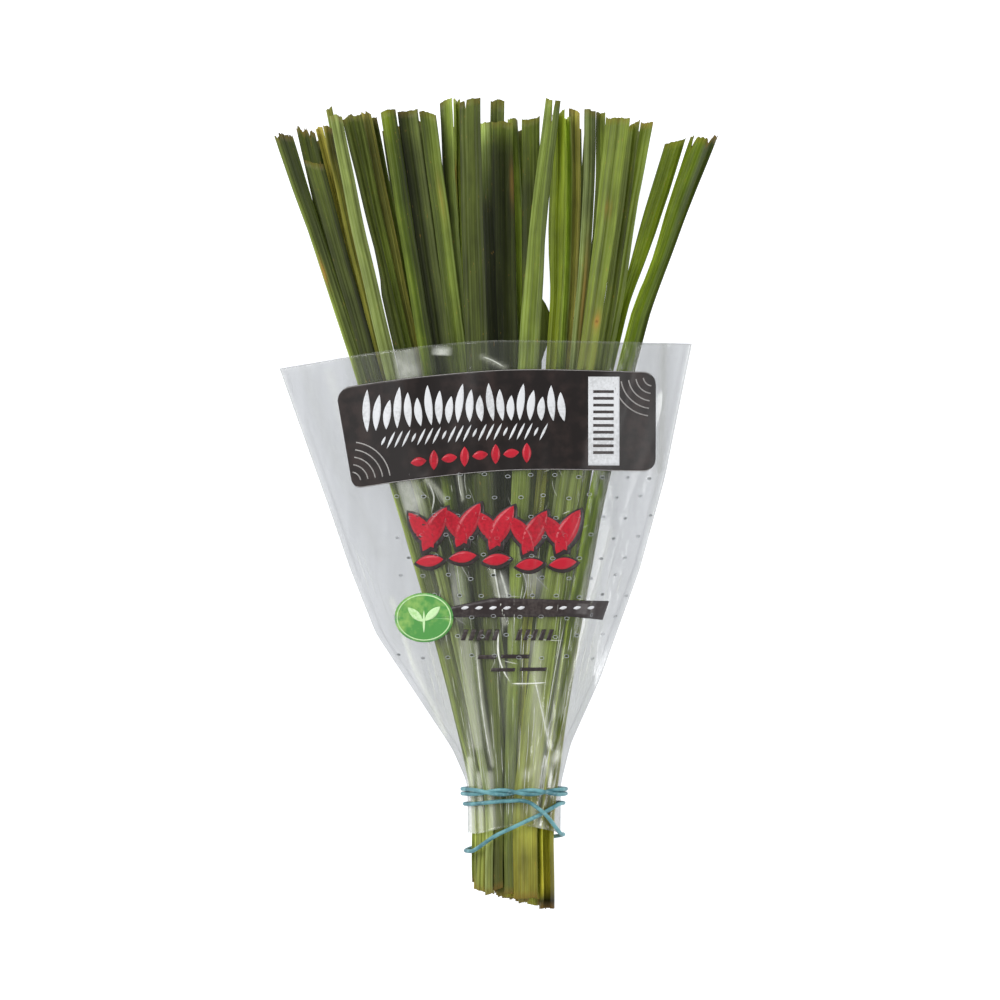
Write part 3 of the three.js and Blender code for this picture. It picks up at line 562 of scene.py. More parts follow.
def bladeMaterial(name, tone):
    material, tree = newMaterial("waxyGrassBlade_" + name.split("_")[1])
    look = bladePattern
    uv = addNode(tree, "ShaderNodeUVMap", {"uv_map": "blade"})
    noises = {}
    for key in ("veins", "lines", "streaks", "mottle", "speckle"):
        wide, long, detail = look[key]
        scaled = addNode(tree, "ShaderNodeMapping", {}, {0: uv, 3: (1 / wide, 1 / long, 1)})
        noises[key] = addNode(tree, "ShaderNodeTexNoise", {"noise_dimensions": "2D"},
                              {"Vector": scaled, "Scale": 1.0, "Detail": detail})
    given = {}
    for attribute, names in (
        ("tint", ("other", "dry", "pale")),
        ("cast", ("shade", "vivid", "ripe")),
    ):
        stored = addNode(tree, "ShaderNodeAttribute", {"attribute_name": attribute})
        parts = addNode(tree, "ShaderNodeSeparateXYZ", {}, {0: stored.outputs["Vector"]})
        given.update(zip(names, parts.outputs))
    share = {}  # each noise ranged from (low, high) to (least, most)
    for key, source, low, high, least, most in (
        ("streakDark", "streaks", 0.5, 0.68, 0.0, look["streakDark"]),
        ("streakPale", "streaks", 0.25, 0.6, 1.0, 0.45),
        ("lineDark", "lines", 0.5, 0.6, 0.0, look["lineDark"]),
        ("lineLight", "lines", 0.45, 0.36, 0.0, look["lineLight"]),
        ("veinLight", "veins", 0.5, 0.72, 0.0, look["veinLight"]),
        ("veinDark", "veins", 0.46, 0.28, 0.0, look["veinDark"]),
        ("light", "mottle", 0.3, 0.72, 0.8, 1.2),
        ("speck", "speckle", 0.7, 0.78, 0.0, 1.0),
        ("speckPlace", "mottle", 0.5, 0.62, 0.0, 0.5),
        ("dryVein", "veins", 0.3, 0.7, 1.3, 0.7),
        ("ridge", "veins", 0.2, 0.8, 0.0, 0.4),
        ("furrow", "lines", 0.3, 0.7, 0.0, 0.6),
    ):
        share[key] = addNode(tree, "ShaderNodeMapRange", {},
                             {0: noises[source], 1: low, 2: high, 3: least, 4: most})
    for key, operation, first, second in (
        ("second", "ADD", given["other"], share["streakDark"]),
        ("third", "MULTIPLY", given["pale"], share["streakPale"]),
        ("notSecond", "MULTIPLY", given["other"], 0.6),
        ("notSecond", "SUBTRACT", 0.9, "notSecond"),
        ("fresh", "MULTIPLY", given["vivid"], "notSecond"),
        ("ripened", "MULTIPLY", given["ripe"], 0.85),
        # the leaf's lightness, partly painted light and shade, with a random mottle
        ("shadeAndMottle", "MULTIPLY", given["shade"], share["light"]),
        ("specks", "MULTIPLY", share["speck"], share["speckPlace"]),
        ("uneven", "MULTIPLY", given["dry"], share["dryVein"]),
        ("dryness", "ADD", "uneven", "specks"),
        ("height", "ADD", share["ridge"], share["furrow"]),
    ):
        pair = {0: share.get(first, first), 1: share.get(second, second)}
        settings = {"operation": operation, "use_clamp": key != "shadeAndMottle"}
        share[key] = addNode(tree, "ShaderNodeMath", settings, pair)
    colour = linearColour(tone["face"])
    for factor, over in (
        ("second", tone["other"]), ("third", tone["pale"]),
        ("fresh", look["vividColour"]), ("ripened", look["ripeColour"]),
        ("lineLight", tone["pale"]), ("lineDark", tone["other"]),
        ("veinLight", tone["pale"]), ("veinDark", tone["other"]),
    ):
        colour = addNode(tree, "ShaderNodeMix", {"data_type": "RGBA"},
                         {0: share[factor], 6: colour, 7: linearColour(over)}).outputs[2]
    shaded = addNode(tree, "ShaderNodeVectorMath", {"operation": "SCALE"},
                     {0: colour, 3: share["shadeAndMottle"]})
    dryness = share["dryness"]
    core = addNode(tree, "ShaderNodeMapRange", {}, {0: dryness, 1: 0.82, 2: 1.0, 4: 0.9})
    dry = addNode(tree, "ShaderNodeMix", {"data_type": "RGBA"}, {
        0: core, 6: linearColour(look["dryColour"]), 7: linearColour(look["dryDark"])})
    colour = addNode(tree, "ShaderNodeMix", {"data_type": "RGBA"},
                     {0: dryness, 6: shaded, 7: dry.outputs[2]})
    roughness = addNode(tree, "ShaderNodeMapRange", {},
                        {0: dryness, 2: 0.8, 3: tone["roughness"], 4: 0.75})
    bump = addNode(tree, "ShaderNodeBump", {},
                   {"Height": share["height"], "Strength": 0.6, "Distance": look["bump"] * mm})
    shader = addNode(tree, "ShaderNodeBsdfPrincipled", {}, {
        "Base Color": colour.outputs[2], "Roughness": roughness, "Normal": bump,
        "IOR": 1.42, "Specular IOR Level": 0.28,
    })
    finishMaterial(tree, shader)
    return material


bladeMaterials = {name: bladeMaterial(name, tone) for name, tone in bladeTones.items()}
leafNames = sorted(name for name in frame["nodes"] if "leaf_" in name or name == "rolled_leaf")
for index, name in enumerate(leafNames):
    makeLeaf(name, index)
print("leaves made:", len(leafNames))


# Clear film sleeve: where its welded edges lie and how high they are, by height along it, and the
# heights of its mouth and foot, by share of the width, as in the part's own drawing
sleeveLeft = [(-141, -10.6), (-111.5, -11.2), (-98, -17.2), (-75, -32.5), (-52, -47.8),
              (-26.4, -58), (-0.4, -67), (54.2, -86.5), (66, -90.6)]
sleeveRight = [(-141, 26.2), (-112, 26.4), (-96, 30.4), (-70.4, 42), (-26.4, 58), (9.6, 68),
               (64.8, 79.2), (66, 79.5)]
weldHeight = [(-141, 12), (-114, 12.5), (-80, 9), (-46, 6.5), (0, 4.5), (66, 3.2)]
mouthRim = [(0, 54.4), (0.1, 57.0), (0.2, 59.6), (0.3, 61.8), (0.4, 63.7), (0.52, 65.2),
            (0.6, 65.2), (1, 64.4)]
footRim = [(0, -131.6), (0.16, -131.6), (0.5, -128.4), (1, -132.4)]

filmShape = {
    "columns": 138, "rows": 168,  # of the mesh, for the front and again for the back
    "lowest": -140, "highest": 68, "lineGap": 1.5,  # of the lines round the bunch that it hangs on
    "clearance": 1.3,  # off the middles of the leaves, before folds
    "aboveTable": 0.25, "foldAboveTable": 0.15,
    "thickness": 0.07,
    "pleatMiddle": 7, "pleatApex": -182,  # the folds fan out from here
    "pleatSpread": 62,
    "pleatDepthNeck": 0.42, "pleatDepthMouth": 0.5,
    "pleatSize": (7.5, 260), "finePleatSize": (3.4, 170),  # how wide and how long they run
    "bulge": 0.5, "bulgeSize": (46, 90),
    "crinkle": 0.05, "crinkleSize": (5, 11),
    "haze": 0.07, "hazeFrom": 10, "hazeTo": 80,
    "streakSize": (6, 60), "fineStreakSize": (1.7, 40),  # of the haze
    "weldLine": 2.6, "weldLineHalf": 0.4, "rimLine": 0.5,  # the white lines by its edges
    "seed": 11,
}
# Soft creases on the front: their course, how proud and wide they are, how white and how grey.
# The white is painted highlight along them, and the grey painted shade.
filmCreases = [
    ([(-1.2, -26.4), (0.8, -35.6), (2.4, -42), (4, -47.6)], 0.7, 2.2, 0.3, 0),
    ([(4, -47.6), (1.2, -53.2), (0.8, -59.2), (6.8, -72), (21.2, -71.2)], 0.5, 1.6, 0.1, 0),
    ([(-7.6, -56), (-5.4, -78), (-1, -104)], 0.5, 2.0, 0.25, 0),
    ([(15.2, -67), (18.6, -82), (21.8, -97)], 0.45, 2.4, 0.3, 0),
    ([(-27, 9.6), (-23, 5.6), (-20, 1.6)], 0.5, 2.4, 0.3, 0),
    ([(-14.8, 13.6), (-13.6, 7), (-12.8, 1.6)], 0.4, 1.4, 0.3, 0),
    ([(-5.2, 58.8), (0, 56.2), (4, 54.4)], 0.4, 2.4, 0.2, 0),
    ([(67.8, 66), (67.2, 56), (66, 14)], 0.5, 4.2, 0.0, 2.2),
    ([(66, 14), (62, -10.4)], 0.4, 3.0, 0.0, 0.6),
    ([(-41, -38), (-33, -62), (-20, -92)], 0.45, 2.6, 0.15, 0.3),
    ([(-76, 54), (-64, 20), (-46, -20)], 0.4, 7.0, 0.0, 0.7),
    ([(-66, 52), (-54, 12)], 0.3, 5.0, 0.12, 0),
    ([(46, -10), (36, -46), (26, -84)], 0.4, 2.4, 0.12, 0.3),
    # soft milky places round the neck, where the film is gathered: its haze, with painted reflection
    ([(16, -56), (17, -112)], 0, 6.5, 0.2, 0), ([(-12, -54), (-7.4, -96)], 0, 5, 0.24, 0),
    ([(27, -58), (23.4, -84)], 0, 3, 0.1, 0), ([(13, -108), (25, -100)], 0, 5, 0.24, 0),
    ([(-10, -102), (-9, -132)], 0, 2.6, 0.4, 0), ([(-6.2, -108), (-5.4, -132)], 0, 2.2, 0.34, 0),
    ([(-2, -108), (-1, -132)], 0, 2.8, 0.36, 0), ([(15.5, -121), (18, -129)], 0, 4, 0.34, 0),
    ([(21, -104), (23, -116)], 0, 2.6, 0.34, 0),
]


# Sum of random waves, from about -1 to 1, that is the same each time for a seed
def waves(seed, x, y, lengthX, lengthY, terms=7):
    rng = np.random.default_rng(seed)
    total = 0
    for _ in range(terms):
        fx = fullWave / lengthX * rng.uniform(0.5, 1.6)
        fy = fullWave / lengthY * rng.uniform(-1.3, 1.3)
        total = total + np.sin(fx * x + fy * y + rng.uniform(0, fullWave))
    return total / terms**0.5


# Convex outline of some points as its upper and lower chain, each from left to right
def hullChains(points):
    points = points[np.lexsort((points[:, 1], points[:, 0]))]

    def chain(side):
        kept = []
        for p in points:
            while len(kept) > 1:
                a, b = kept[-2], kept[-1]
                if side * ((b[0] - a[0]) * (p[1] - a[1]) - (b[1] - a[1]) * (p[0] - a[0])) > 0:
                    break
                kept.pop()
            kept.append(p)
        return np.array(kept)

    return chain(-1), chain(1)


# Points along a line of points, at shares of its length
def alongLine(line, shares):
    steps = np.hypot(*np.diff(line, axis=0).T)
    run = np.concatenate([[0], np.cumsum(steps)])
    return np.stack([np.interp(shares * run[-1], run, line[:, k]) for k in range(2)], axis=1)


def blurred(values, passes, axis):
    values = np.moveaxis(values, axis, 0).copy()
    for _ in range(passes):
        values[1:-1] = 0.25 * values[:-2] + 0.5 * values[1:-1] + 0.25 * values[2:]
    return np.moveaxis(values, 0, axis)


# The film's line round the bunch at one height, front and back, with both ends on the welds
def filmLines(y, leafSlices, shares):
    inside = []
    for levels, slices in leafSlices:
        if levels[0] <= y <= levels[-1]:
            inside.append(np.array([
                [np.interp(y, levels, column[:, i]) for i in (0, 1)]
                for column in np.moveaxis(slices, 1, 0)
            ]))
    upper, lower = hullChains(np.concatenate(inside))
    core = np.concatenate([upper, lower])
    turns = np.arange(12) * math.tau / 12
    circle = filmShape["clearance"] * np.stack([np.cos(turns), np.sin(turns)], axis=1)
    grown = (core[:, None] + circle[None]).reshape(-1, 2)
    level = tableAt(weldHeight, y)
    ends = np.array([[tableAt(sleeveLeft, y), level], [tableAt(sleeveRight, y), level]])
    front, back = hullChains(np.concatenate([grown, ends]))
    back[:, 1] = np.maximum(back[:, 1], filmShape["aboveTable"])
    return alongLine(front, shares), alongLine(back, shares)


# How proud the creases make the film at some places, with their painted highlight (white) and painted
# shade (grey)
def creaseField(x, y):
    lift, white, grey = 0 * x, 0 * x, 0 * x
    for course, proud, wide, whiteness, greyness in filmCreases:
        for (ax, ay), (bx, by) in zip(course, course[1:]):
            length = math.hypot(bx - ax, by - ay)
            t = np.clip(((x - ax) * (bx - ax) + (y - ay) * (by - ay)) / length**2, 0, 1)
            away = np.hypot(x - ax - t * (bx - ax), y - ay - t * (by - ay))
            lift = np.maximum(lift, proud * np.clip(1 - away / (wide * 1.6), 0, 1) ** 1.3)
            soft = np.exp(-((away / wide * 2.2) ** 2))
            white, grey = np.maximum(white, whiteness * soft), np.maximum(grey, greyness * soft)
    return lift, white, grey


# How far round the fan of folds some places lie
def fanPlace(x, y):
    return filmShape["pleatSpread"] * (x - filmShape["pleatMiddle"]) / (y - filmShape["pleatApex"])


def filmFolds(x, y, seed):
    fan, shape = fanPlace(x, y), filmShape
    ridge = 1 - np.abs(waves(seed, fan, y, *shape["pleatSize"])) ** 0.8
    ridge = 0.6 * ridge + 0.4 * (1 - np.abs(waves(seed + 1, fan, y, *shape["finePleatSize"])))
    share = smoothStep(y, -125, 40)
    depth = shape["pleatDepthNeck"] * (1 - share) + shape["pleatDepthMouth"] * share
    bulge = shape["bulge"] * waves(seed + 2, x, y, *shape["bulgeSize"]) * smoothStep(y, -120, -70)
    crinkle = shape["crinkle"] * waves(seed + 3, x, y, *shape["crinkleSize"], 12)
    return depth * np.clip(ridge, -0.6, 1) + bulge + crinkle


# Grid of the film's outer face, front or back, with how white it has gone at each point
def filmSide(lines, heights, front):
    shape = filmShape
    nearMouth = lines[-20, :, 0]
    places = (nearMouth - nearMouth[0]) / (nearMouth[-1] - nearMouth[0])
    rim, foot = curveOf(mouthRim, places), curveOf(footRim, places)
    y = foot + (rim - foot) * np.linspace(0, 1, shape["rows"] + 1)[:, None]
    x, z = columnsAt(heights, lines, y)
    grid = np.stack([x, y, z], axis=2)
    along, over = np.gradient(grid, axis=0), np.gradient(grid, axis=1)
    normal = np.cross(over, along) * (1 if front else -1)
    normal /= np.linalg.norm(normal, axis=2, keepdims=True) + 1e-9
    fromWeld = np.minimum(x - x[:, :1], x[:, -1:] - x)
    seed = shape["seed"]
    folds = filmFolds(x, y, seed + (0 if front else 20))
    lift, white, grey = creaseField(x, y) if front else (0 * x, 0 * x, 0 * x)
    folds = np.maximum(folds + lift, -0.25) * smoothStep(fromWeld, 0.0, 9.0)
    if not front:
        room = np.maximum(z - shape["foldAboveTable"], 0)
        folds = np.minimum(folds, room / np.maximum(-normal[:, :, 2], 0.05))
    fan = fanPlace(x, y)
    broad = waves(seed + 5, fan, y, *shape["streakSize"])
    thin = waves(seed + 6, fan, y, *shape["fineStreakSize"])
    streaks = np.clip(0.45 + 0.4 * broad + 0.25 * thin, 0, 1)
    hazy = smoothStep(-y, shape["hazeFrom"], shape["hazeTo"]) * streaks
    hazy = shape["haze"] * hazy * smoothStep(fromWeld, 1, 6) * (1.0 if front else 0.4)
    half, wide = shape["weldLineHalf"], shape["rimLine"]
    line = 0.5 * np.exp(-(((fromWeld - shape["weldLine"]) / half) ** 2))
    line = line + smoothStep(half - fromWeld, 0, half)
    fromRim = np.minimum(rim - y, y - foot)
    line = np.maximum(line, 0.7 * smoothStep(wide - fromRim, 0, wide)) + grey
    # white: haze with painted highlight along creases; line: weld and rim lines with painted shade
    # along some folds
    marks = np.stack([white + hazy, line, 0 * line + (not front)], axis=2)
    return grid + normal * folds[:, :, None], marks


def makeFilm():
    slices = []
    for name in leafNames:
        sections = leafSections(name)
        levels = np.linspace(sections[0, :, 1].mean(), sections[-1, :, 1].mean(), 160)
        slices.append((levels, leafColumns(sections, levels)))
    shares = np.linspace(0, 1, filmShape["columns"] + 1)
    heights = np.arange(filmShape["lowest"], filmShape["highest"], filmShape["lineGap"])
    lines = [filmLines(y, slices, shares) for y in heights]
    sides = []
    for i in (0, 1):
        line = blurred(np.array([pair[i] for pair in lines]), 3, 0)
        sides.append(filmSide(blurred(line, 2, 1), heights, i == 0))
    rings, marks = (
        np.concatenate([front, back[:, -2:0:-1]], axis=1) for front, back in zip(*sides)
    )
    film = meshObject("film", rings.reshape(-1, 3), ringFaces(*rings.shape[:2]), closed=False)
    setPointValues(film, "marks", "FLOAT_VECTOR", marks)
    setPatternUv(film, "film", rings[:, :, :2].reshape(-1, 2))
    return film


# Cast polypropylene film, 40 microns: clear and glossy, a little blue and grey where two layers lie
# together, with soft lengthwise bands from the roller and white lines of painted highlight along its
# creases. The back layer's darker grey also paints the shadow that the film would cast on the table.
filmLook = {
    "body": "#868a80", "back": "#4b5160", "hazeAndHighlight": "#e3e7d3",
    # the back layer's higher opacity and darker grey partly paint the film's shadow on the table
    "opacity": 0.045, "bandOpacity": 0.025, "backOpacity": 0.23, "edgeOpacity": 0.1,
    "lineOpacity": 0.1, "whiteOpacity": 0.5,
    "roughness": 0.13,
    "bandWidth": 9, "bandRun": 130,
    "crinkle": 2.6, "crinkleDepth": 0.2,
}


def filmMaterial():
    material, tree = newMaterial("castPolypropyleneFilm")
    look = filmLook
    uv = addNode(tree, "ShaderNodeUVMap", {"uv_map": "film"})
    marks = addNode(tree, "ShaderNodeAttribute", {"attribute_name": "marks"}).outputs["Vector"]
    white, line, back = addNode(tree, "ShaderNodeSeparateXYZ", {}, {0: marks}).outputs
    scaled = addNode(tree, "ShaderNodeMapping", {},
                     {0: uv, 3: (1 / look["bandWidth"], 1 / look["bandRun"], 1)})
    bands = addNode(tree, "ShaderNodeTexNoise", {"noise_dimensions": "2D"},
                    {"Vector": scaled, "Scale": 1.0, "Detail": 3.0})
    fine = addNode(tree, "ShaderNodeTexNoise", {"noise_dimensions": "2D"},
                   {"Vector": uv, "Scale": 1 / look["crinkle"], "Detail": 3.0})
    opacity = addNode(tree, "ShaderNodeMapRange", {}, {
        0: bands, 1: 0.35, 2: 0.65, 3: look["opacity"], 4: look["opacity"] + look["bandOpacity"]})
    facing = addNode(tree, "ShaderNodeLayerWeight", {}, {"Blend": 0.25}).outputs["Facing"]
    for source, most in (
        (facing, "edgeOpacity"), (back, "backOpacity"),
        (line, "lineOpacity"), (white, "whiteOpacity"),
    ):
        opacity = addNode(tree, "ShaderNodeMath",
                          {"operation": "MULTIPLY_ADD", "use_clamp": most == "whiteOpacity"},
                          {0: source, 1: look[most], 2: opacity})
    hazeAndHighlightShare = addNode(tree, "ShaderNodeMapRange", {}, {0: white, 1: 0.0, 2: 0.2})
    body = addNode(tree, "ShaderNodeMix", {"data_type": "RGBA"},
                   {0: back, 6: linearColour(look["body"]), 7: linearColour(look["back"])})
    colour = addNode(tree, "ShaderNodeMix", {"data_type": "RGBA"},
                     {0: hazeAndHighlightShare, 6: body.outputs[2], 7: linearColour(look["hazeAndHighlight"])})
    bump = addNode(tree, "ShaderNodeBump", {},
                   {"Height": fine, "Strength": 0.25, "Distance": look["crinkleDepth"] * mm})
    shader = addNode(tree, "ShaderNodeBsdfPrincipled", {}, {
        "Base Color": colour.outputs[2], "Roughness": look["roughness"], "Normal": bump,
        "IOR": 1.95, "Specular IOR Level": 1.0,  # strong, because only about a tenth of it shows
    })
    finishMaterial(tree, shader, opacity)
    return material


def surfaceOf(obj):
    corners = [v.co for v in obj.data.vertices]
    return BVHTree.FromPolygons(corners, [tuple(p.vertices) for p in obj.data.polygons])


filmSheet = makeFilm()
filmTree = surfaceOf(filmSheet)
thicken = filmSheet.modifiers.new("thicken", "SOLIDIFY")
thicken.thickness = filmShape["thickness"] * mm
thicken.offset = -1
dress(filmSheet, filmMaterial(), "film", "sleeve")
print("film made:", len(filmSheet.data.polygons), "faces")


# Height of a surface at a place, seen from above, in millimetres
def topAt(surface, x, y):
    hit = surface.ray_cast(Vector((x * mm, y * mm, overhead)), Vector((0, 0, -1)))
    return hit[0].z / mm if hit[0] is not None else math.nan


# Thin closed slabs laid on a surface, each from a grid of places (rows by columns by x and y)
def layOn(surface, name, patches, lift, thickness, smooth=0):
    points, faces, pairs = [], [], []
    for patch in patches:
        rows, columns = patch.shape[:2]
        z = np.array([[topAt(surface, x, y) for x, y in row] for row in patch])
        z = np.where(np.isnan(z), np.nanmin(z), z)
        if smooth:
            z = np.maximum(blurred(blurred(z, smooth, 0), smooth, 1), z)
            z = blurred(blurred(z, 2, 0), 2, 1)
        start = len(points)
        for layer in (0, 1):
            for r in range(rows):
                for c in range(columns):
                    x, y = patch[r, c]
                    points.append((x, y, z[r, c] + lift + thickness * (1 - layer)))
                    pairs.append((x, y))
        size = rows * columns

        def at(r, c, layer):
            return start + layer * size + r * columns + c

        for r in range(rows - 1):
            for c in range(columns - 1):
                faces.append((at(r, c, 0), at(r, c + 1, 0), at(r + 1, c + 1, 0), at(r + 1, c, 0)))
                faces.append((at(r, c, 1), at(r + 1, c, 1), at(r + 1, c + 1, 1), at(r, c + 1, 1)))
        border = [(0, c) for c in range(columns)] + [(r, columns - 1) for r in range(1, rows)]
        border += [(rows - 1, c) for c in range(columns - 2, -1, -1)]
        border += [(r, 0) for r in range(rows - 2, 0, -1)]
        for (r, c), (r2, c2) in zip(border, border[1:] + border[:1]):
            faces.append((at(r, c, 0), at(r, c, 1), at(r2, c2, 1), at(r2, c2, 0)))
    obj = meshObject(name, points, faces)
    setPatternUv(obj, "print", pairs)
    return obj


# Label and prints. The places are in millimetres on the bunch seen from the front.
labelShape = {
    "left": -60.4, "right": 64.4, "lean": 5.2, "corner": 5,
    "top": [(-60, 46.4), (-55.2, 47.2), (-27.2, 51), (-2, 53.2), (64.4, 52.8)],
    "foot": [(-58, 6.2), (-54, 6.8), (-27.2, 10.4), (-2, 12.9), (64.4, 13.1)],
    "columns": 150, "rows": 48,
    "lift": 0.15, "thickness": 0.12, "smoothing": 6,
    "coat": "#120b0a", "sheenBands": "#261c1a", "roughness": 0.42,
}


# The place at a share of the label's length and height, within its round corners
def labelPlace(share, up, inset=0.0):
    shape = labelShape
    x = shape["left"] + (shape["right"] - shape["left"]) * share
    inside = np.minimum(1, np.minimum(x - shape["left"], shape["right"] - x) / shape["corner"])
    margin = shape["corner"] * (1 - np.sqrt(np.clip(1 - (1 - inside) ** 2, 0, 1))) + inset
    top, foot = curveOf(shape["top"], x) - margin, curveOf(shape["foot"], x) + margin
    y = foot + (top - foot) * up
    return x - shape["lean"] * (1 - share) ** 4 * (up - 0.5), y


def labelPatch():
    i = np.linspace(0, 1, labelShape["columns"] + 1)
    share = 0.35 * i + 0.65 * (1 - np.cos(math.pi * i)) / 2
    up = np.linspace(0, 1, labelShape["rows"] + 1)[:, None]
    x, y = labelPlace(share[None, :] + 0 * up, up + 0 * share[None, :])
    return np.stack([x, y], axis=2)


# A flat coat in one colour, with another in patches: worn or thin ink, and on the label a painted
# sheen
def inkMaterial(name, colour, wearAndSheen, roughness, patchSize=1.2, stretch=(0.06, 0.06)):
    material, tree = newMaterial(name)
    uv = addNode(tree, "ShaderNodeUVMap", {"uv_map": "print"})
    scaled = addNode(tree, "ShaderNodeMapping", {}, {0: uv, 3: (*stretch, 1)})
    patchy = addNode(tree, "ShaderNodeTexNoise", {"noise_dimensions": "2D"},
                     {"Vector": scaled, "Scale": 1.0, "Detail": 2.0})
    grain = addNode(tree, "ShaderNodeTexNoise", {"noise_dimensions": "2D"},
                    {"Vector": uv, "Scale": 1 / patchSize, "Detail": 3.0})
    share = addNode(tree, "ShaderNodeMath", {"operation": "MULTIPLY"}, {0: patchy, 1: grain})
    ranged = addNode(tree, "ShaderNodeMapRange", {}, {0: share, 1: 0.2, 2: 0.42})
    mix = addNode(tree, "ShaderNodeMix", {"data_type": "RGBA"},
                  {0: ranged, 6: linearColour(colour), 7: linearColour(wearAndSheen)})
    bump = addNode(tree, "ShaderNodeBump", {},
                   {"Height": grain, "Strength": 0.2, "Distance": 0.1 * mm})
    shader = addNode(tree, "ShaderNodeBsdfPrincipled", {}, {
        "Base Color": mix.outputs[2], "Roughness": roughness, "Normal": bump,
        "Specular IOR Level": 0.35,
    })
    finishMaterial(tree, shader)
    return material


# Patches for layOn: a bar, a pointed lens like a blade tip, and a disc, a ring or a part of one
def bar(x0, x1, y0, y1, slant=0.0, columns=12, rows=3):
    u, v = np.meshgrid(np.linspace(0, 1, columns + 1), np.linspace(0, 1, rows + 1))
    return np.stack([x0 + (x1 - x0) * u + slant * (v - 0.5), y0 + (y1 - y0) * v], axis=2)


def lens(x, y, length, width, turn, bend=0.0, columns=14, rows=4):
    u, v = np.meshgrid(np.linspace(0.001, 0.999, columns + 1), np.linspace(-0.5, 0.5, rows + 1))
    along = (u - 0.5) * length
    over = v * width * np.sin(math.pi * u) ** 0.8 + bend * (1 - (2 * u - 1) ** 2)
    c, s = math.cos(turn), math.sin(turn)
    return np.stack([x + along * c - over * s, y + along * s + over * c], axis=2)


def disc(x, y, halfWide, halfHigh, inner, rings, steps, start=0.0, end=math.tau):
    radii, turns = np.linspace(max(inner, 0.02), 1, rings + 1), np.linspace(start, end, steps + 1)
    radius, turn = np.meshgrid(radii, turns)
    wide, high = halfWide * radius, halfHigh * radius
    return np.stack([x + wide * np.cos(turn), y + high * np.sin(turn)], axis=2)


label = layOn(filmTree, "labelSheet", [labelPatch()],
              labelShape["lift"], labelShape["thickness"], labelShape["smoothing"])
# Dark self-adhesive paper label with a matt coat, and a painted sheen on it in soft, lighter vertical
# bands
labelPaper = inkMaterial("mattCoatedPaper", labelShape["coat"], labelShape["sheenBands"],
                         labelShape["roughness"], 5, (0.09, 0.012))
dress(label, labelPaper, "label", "label")
labelTree = surfaceOf(label)
print("label made")


# Screen-printed inks: flat, slightly glossy, with the tone a little uneven where the coat is thin
inks = {
    "white": inkMaterial("whiteScreenInk", "#cbcdd0", "#b6b8ba", 0.4),
    "red": inkMaterial("redScreenInk", "#ab1b2c", "#8e1725", 0.3),
    "dark": inkMaterial("darkScreenInk", "#2a2323", "#3f3836", 0.35),
    "grey": inkMaterial("greyScreenInk", "#8f8c8a", "#757270", 0.4),
}
printHeight = {"onLabel": 0.03, "outline": 0.1, "onFilm": 0.17, "rules": 0.1, "thickness": 0.04}
upright = math.pi / 2

# What is printed on the label. The rows' "first" and "step" are shares of its length and height.
labelArt = {
    "blades": {  # grass blades that lean to and fro, in threes from tall to short
        "count": 20, "first": (0.082, 0.735), "step": (0.0325, -0.004),
        "length": 17.0, "lessEach": 0.15, "lessInThree": 2.4, "dropInThree": 1.2,
        "width": 3.1, "bend": 0.4, "lean": 0.13, "leanWave": 0.9,
    },
    "strokes": {  # slanting ones, of which each fourth is short
        "count": 22, "first": (0.125, 0.42), "step": (0.0245, -0.002),
        "length": 7.6, "shortLength": 4.0, "width": 1.0, "lean": 0.45,
    },
    "gems": {  # pointed red shapes, by turns lying and standing
        "count": 8, "first": (0.235, 0.17), "step": (0.05, 0.0),
        "standing": 8.0, "lying": 6.4, "width": 3.6, "tilt": 0.15,
    },
    "arcs": {  # round two corners, as (x, y, where they start), in millimetres and radians
        "corners": ((-57.5, 9.0, 0.15), (63.0, 51.0, 3.3)),
        "count": 5, "smallest": 4.0, "apart": 3.0, "line": 0.5, "turn": 1.3,
    },
    "edge": {"from": 0.02, "to": 0.985, "steps": 80, "insets": (0.08, 0.34)},
    # bars, as (left, right, foot, top)
    "panel": (37.2, 49.7, 15.4, 50.8),
    "rule": (39.2, 47.4, 20.0, 21.1), "rules": 10, "ruleStep": 2.7,
}


# The number and the place of each shape in a row on the label
def labelRow(row):
    (x, y), (stepX, stepY) = row["first"], row["step"]
    for i in range(row["count"]):
        yield i, *labelPlace(x + i * stepX, y + i * stepY)


def labelPrints():
    white, gems, marks = [], [], []
    row = labelArt["blades"]
    for i, x, y in labelRow(row):
        tall = row["length"] - row["lessEach"] * i - row["lessInThree"] * (i % 3)
        turn = upright - row["lean"] * math.sin(row["leanWave"] * i)
        y = y - row["dropInThree"] * (i % 3)
        white.append(lens(x, y, tall, row["width"], turn, row["bend"]))
    row = labelArt["strokes"]
    for i, x, y in labelRow(row):
        length = row["length" if i % 4 else "shortLength"]
        white.append(lens(x, y, length, row["width"], upright - row["lean"], columns=8, rows=2))
    row = labelArt["gems"]
    for i, x, y in labelRow(row):
        length, turn = (row["standing"], upright) if i % 2 else (row["lying"], row["tilt"])
        gems.append(lens(x, y, length, row["width"], turn, columns=10, rows=3))
    arcs = labelArt["arcs"]
    for x, y, start in arcs["corners"]:
        for k in range(arcs["count"]):
            size = arcs["smallest"] + arcs["apart"] * k
            inner, end = 1 - arcs["line"] / size, start + arcs["turn"]
            marks.append(disc(x, y, size, size, inner, 1, 18, start, end))
    edge = labelArt["edge"]
    share = np.linspace(edge["from"], edge["to"], edge["steps"])
    for up in (0, 1):  # the cut edge of the paper
        lines = [labelPlace(share, up, inset) for inset in edge["insets"]]
        marks.append(np.stack([np.stack(line, axis=1) for line in lines]))
    return white, gems, marks


def rulesPanel():
    left, right, foot, top = labelArt["rule"]
    steps = [labelArt["ruleStep"] * k for k in range(labelArt["rules"])]
    rules = [bar(left, right, foot + step, top + step, 0, 10, 2) for step in steps]
    return [bar(*labelArt["panel"], 0, 16, 30)], rules


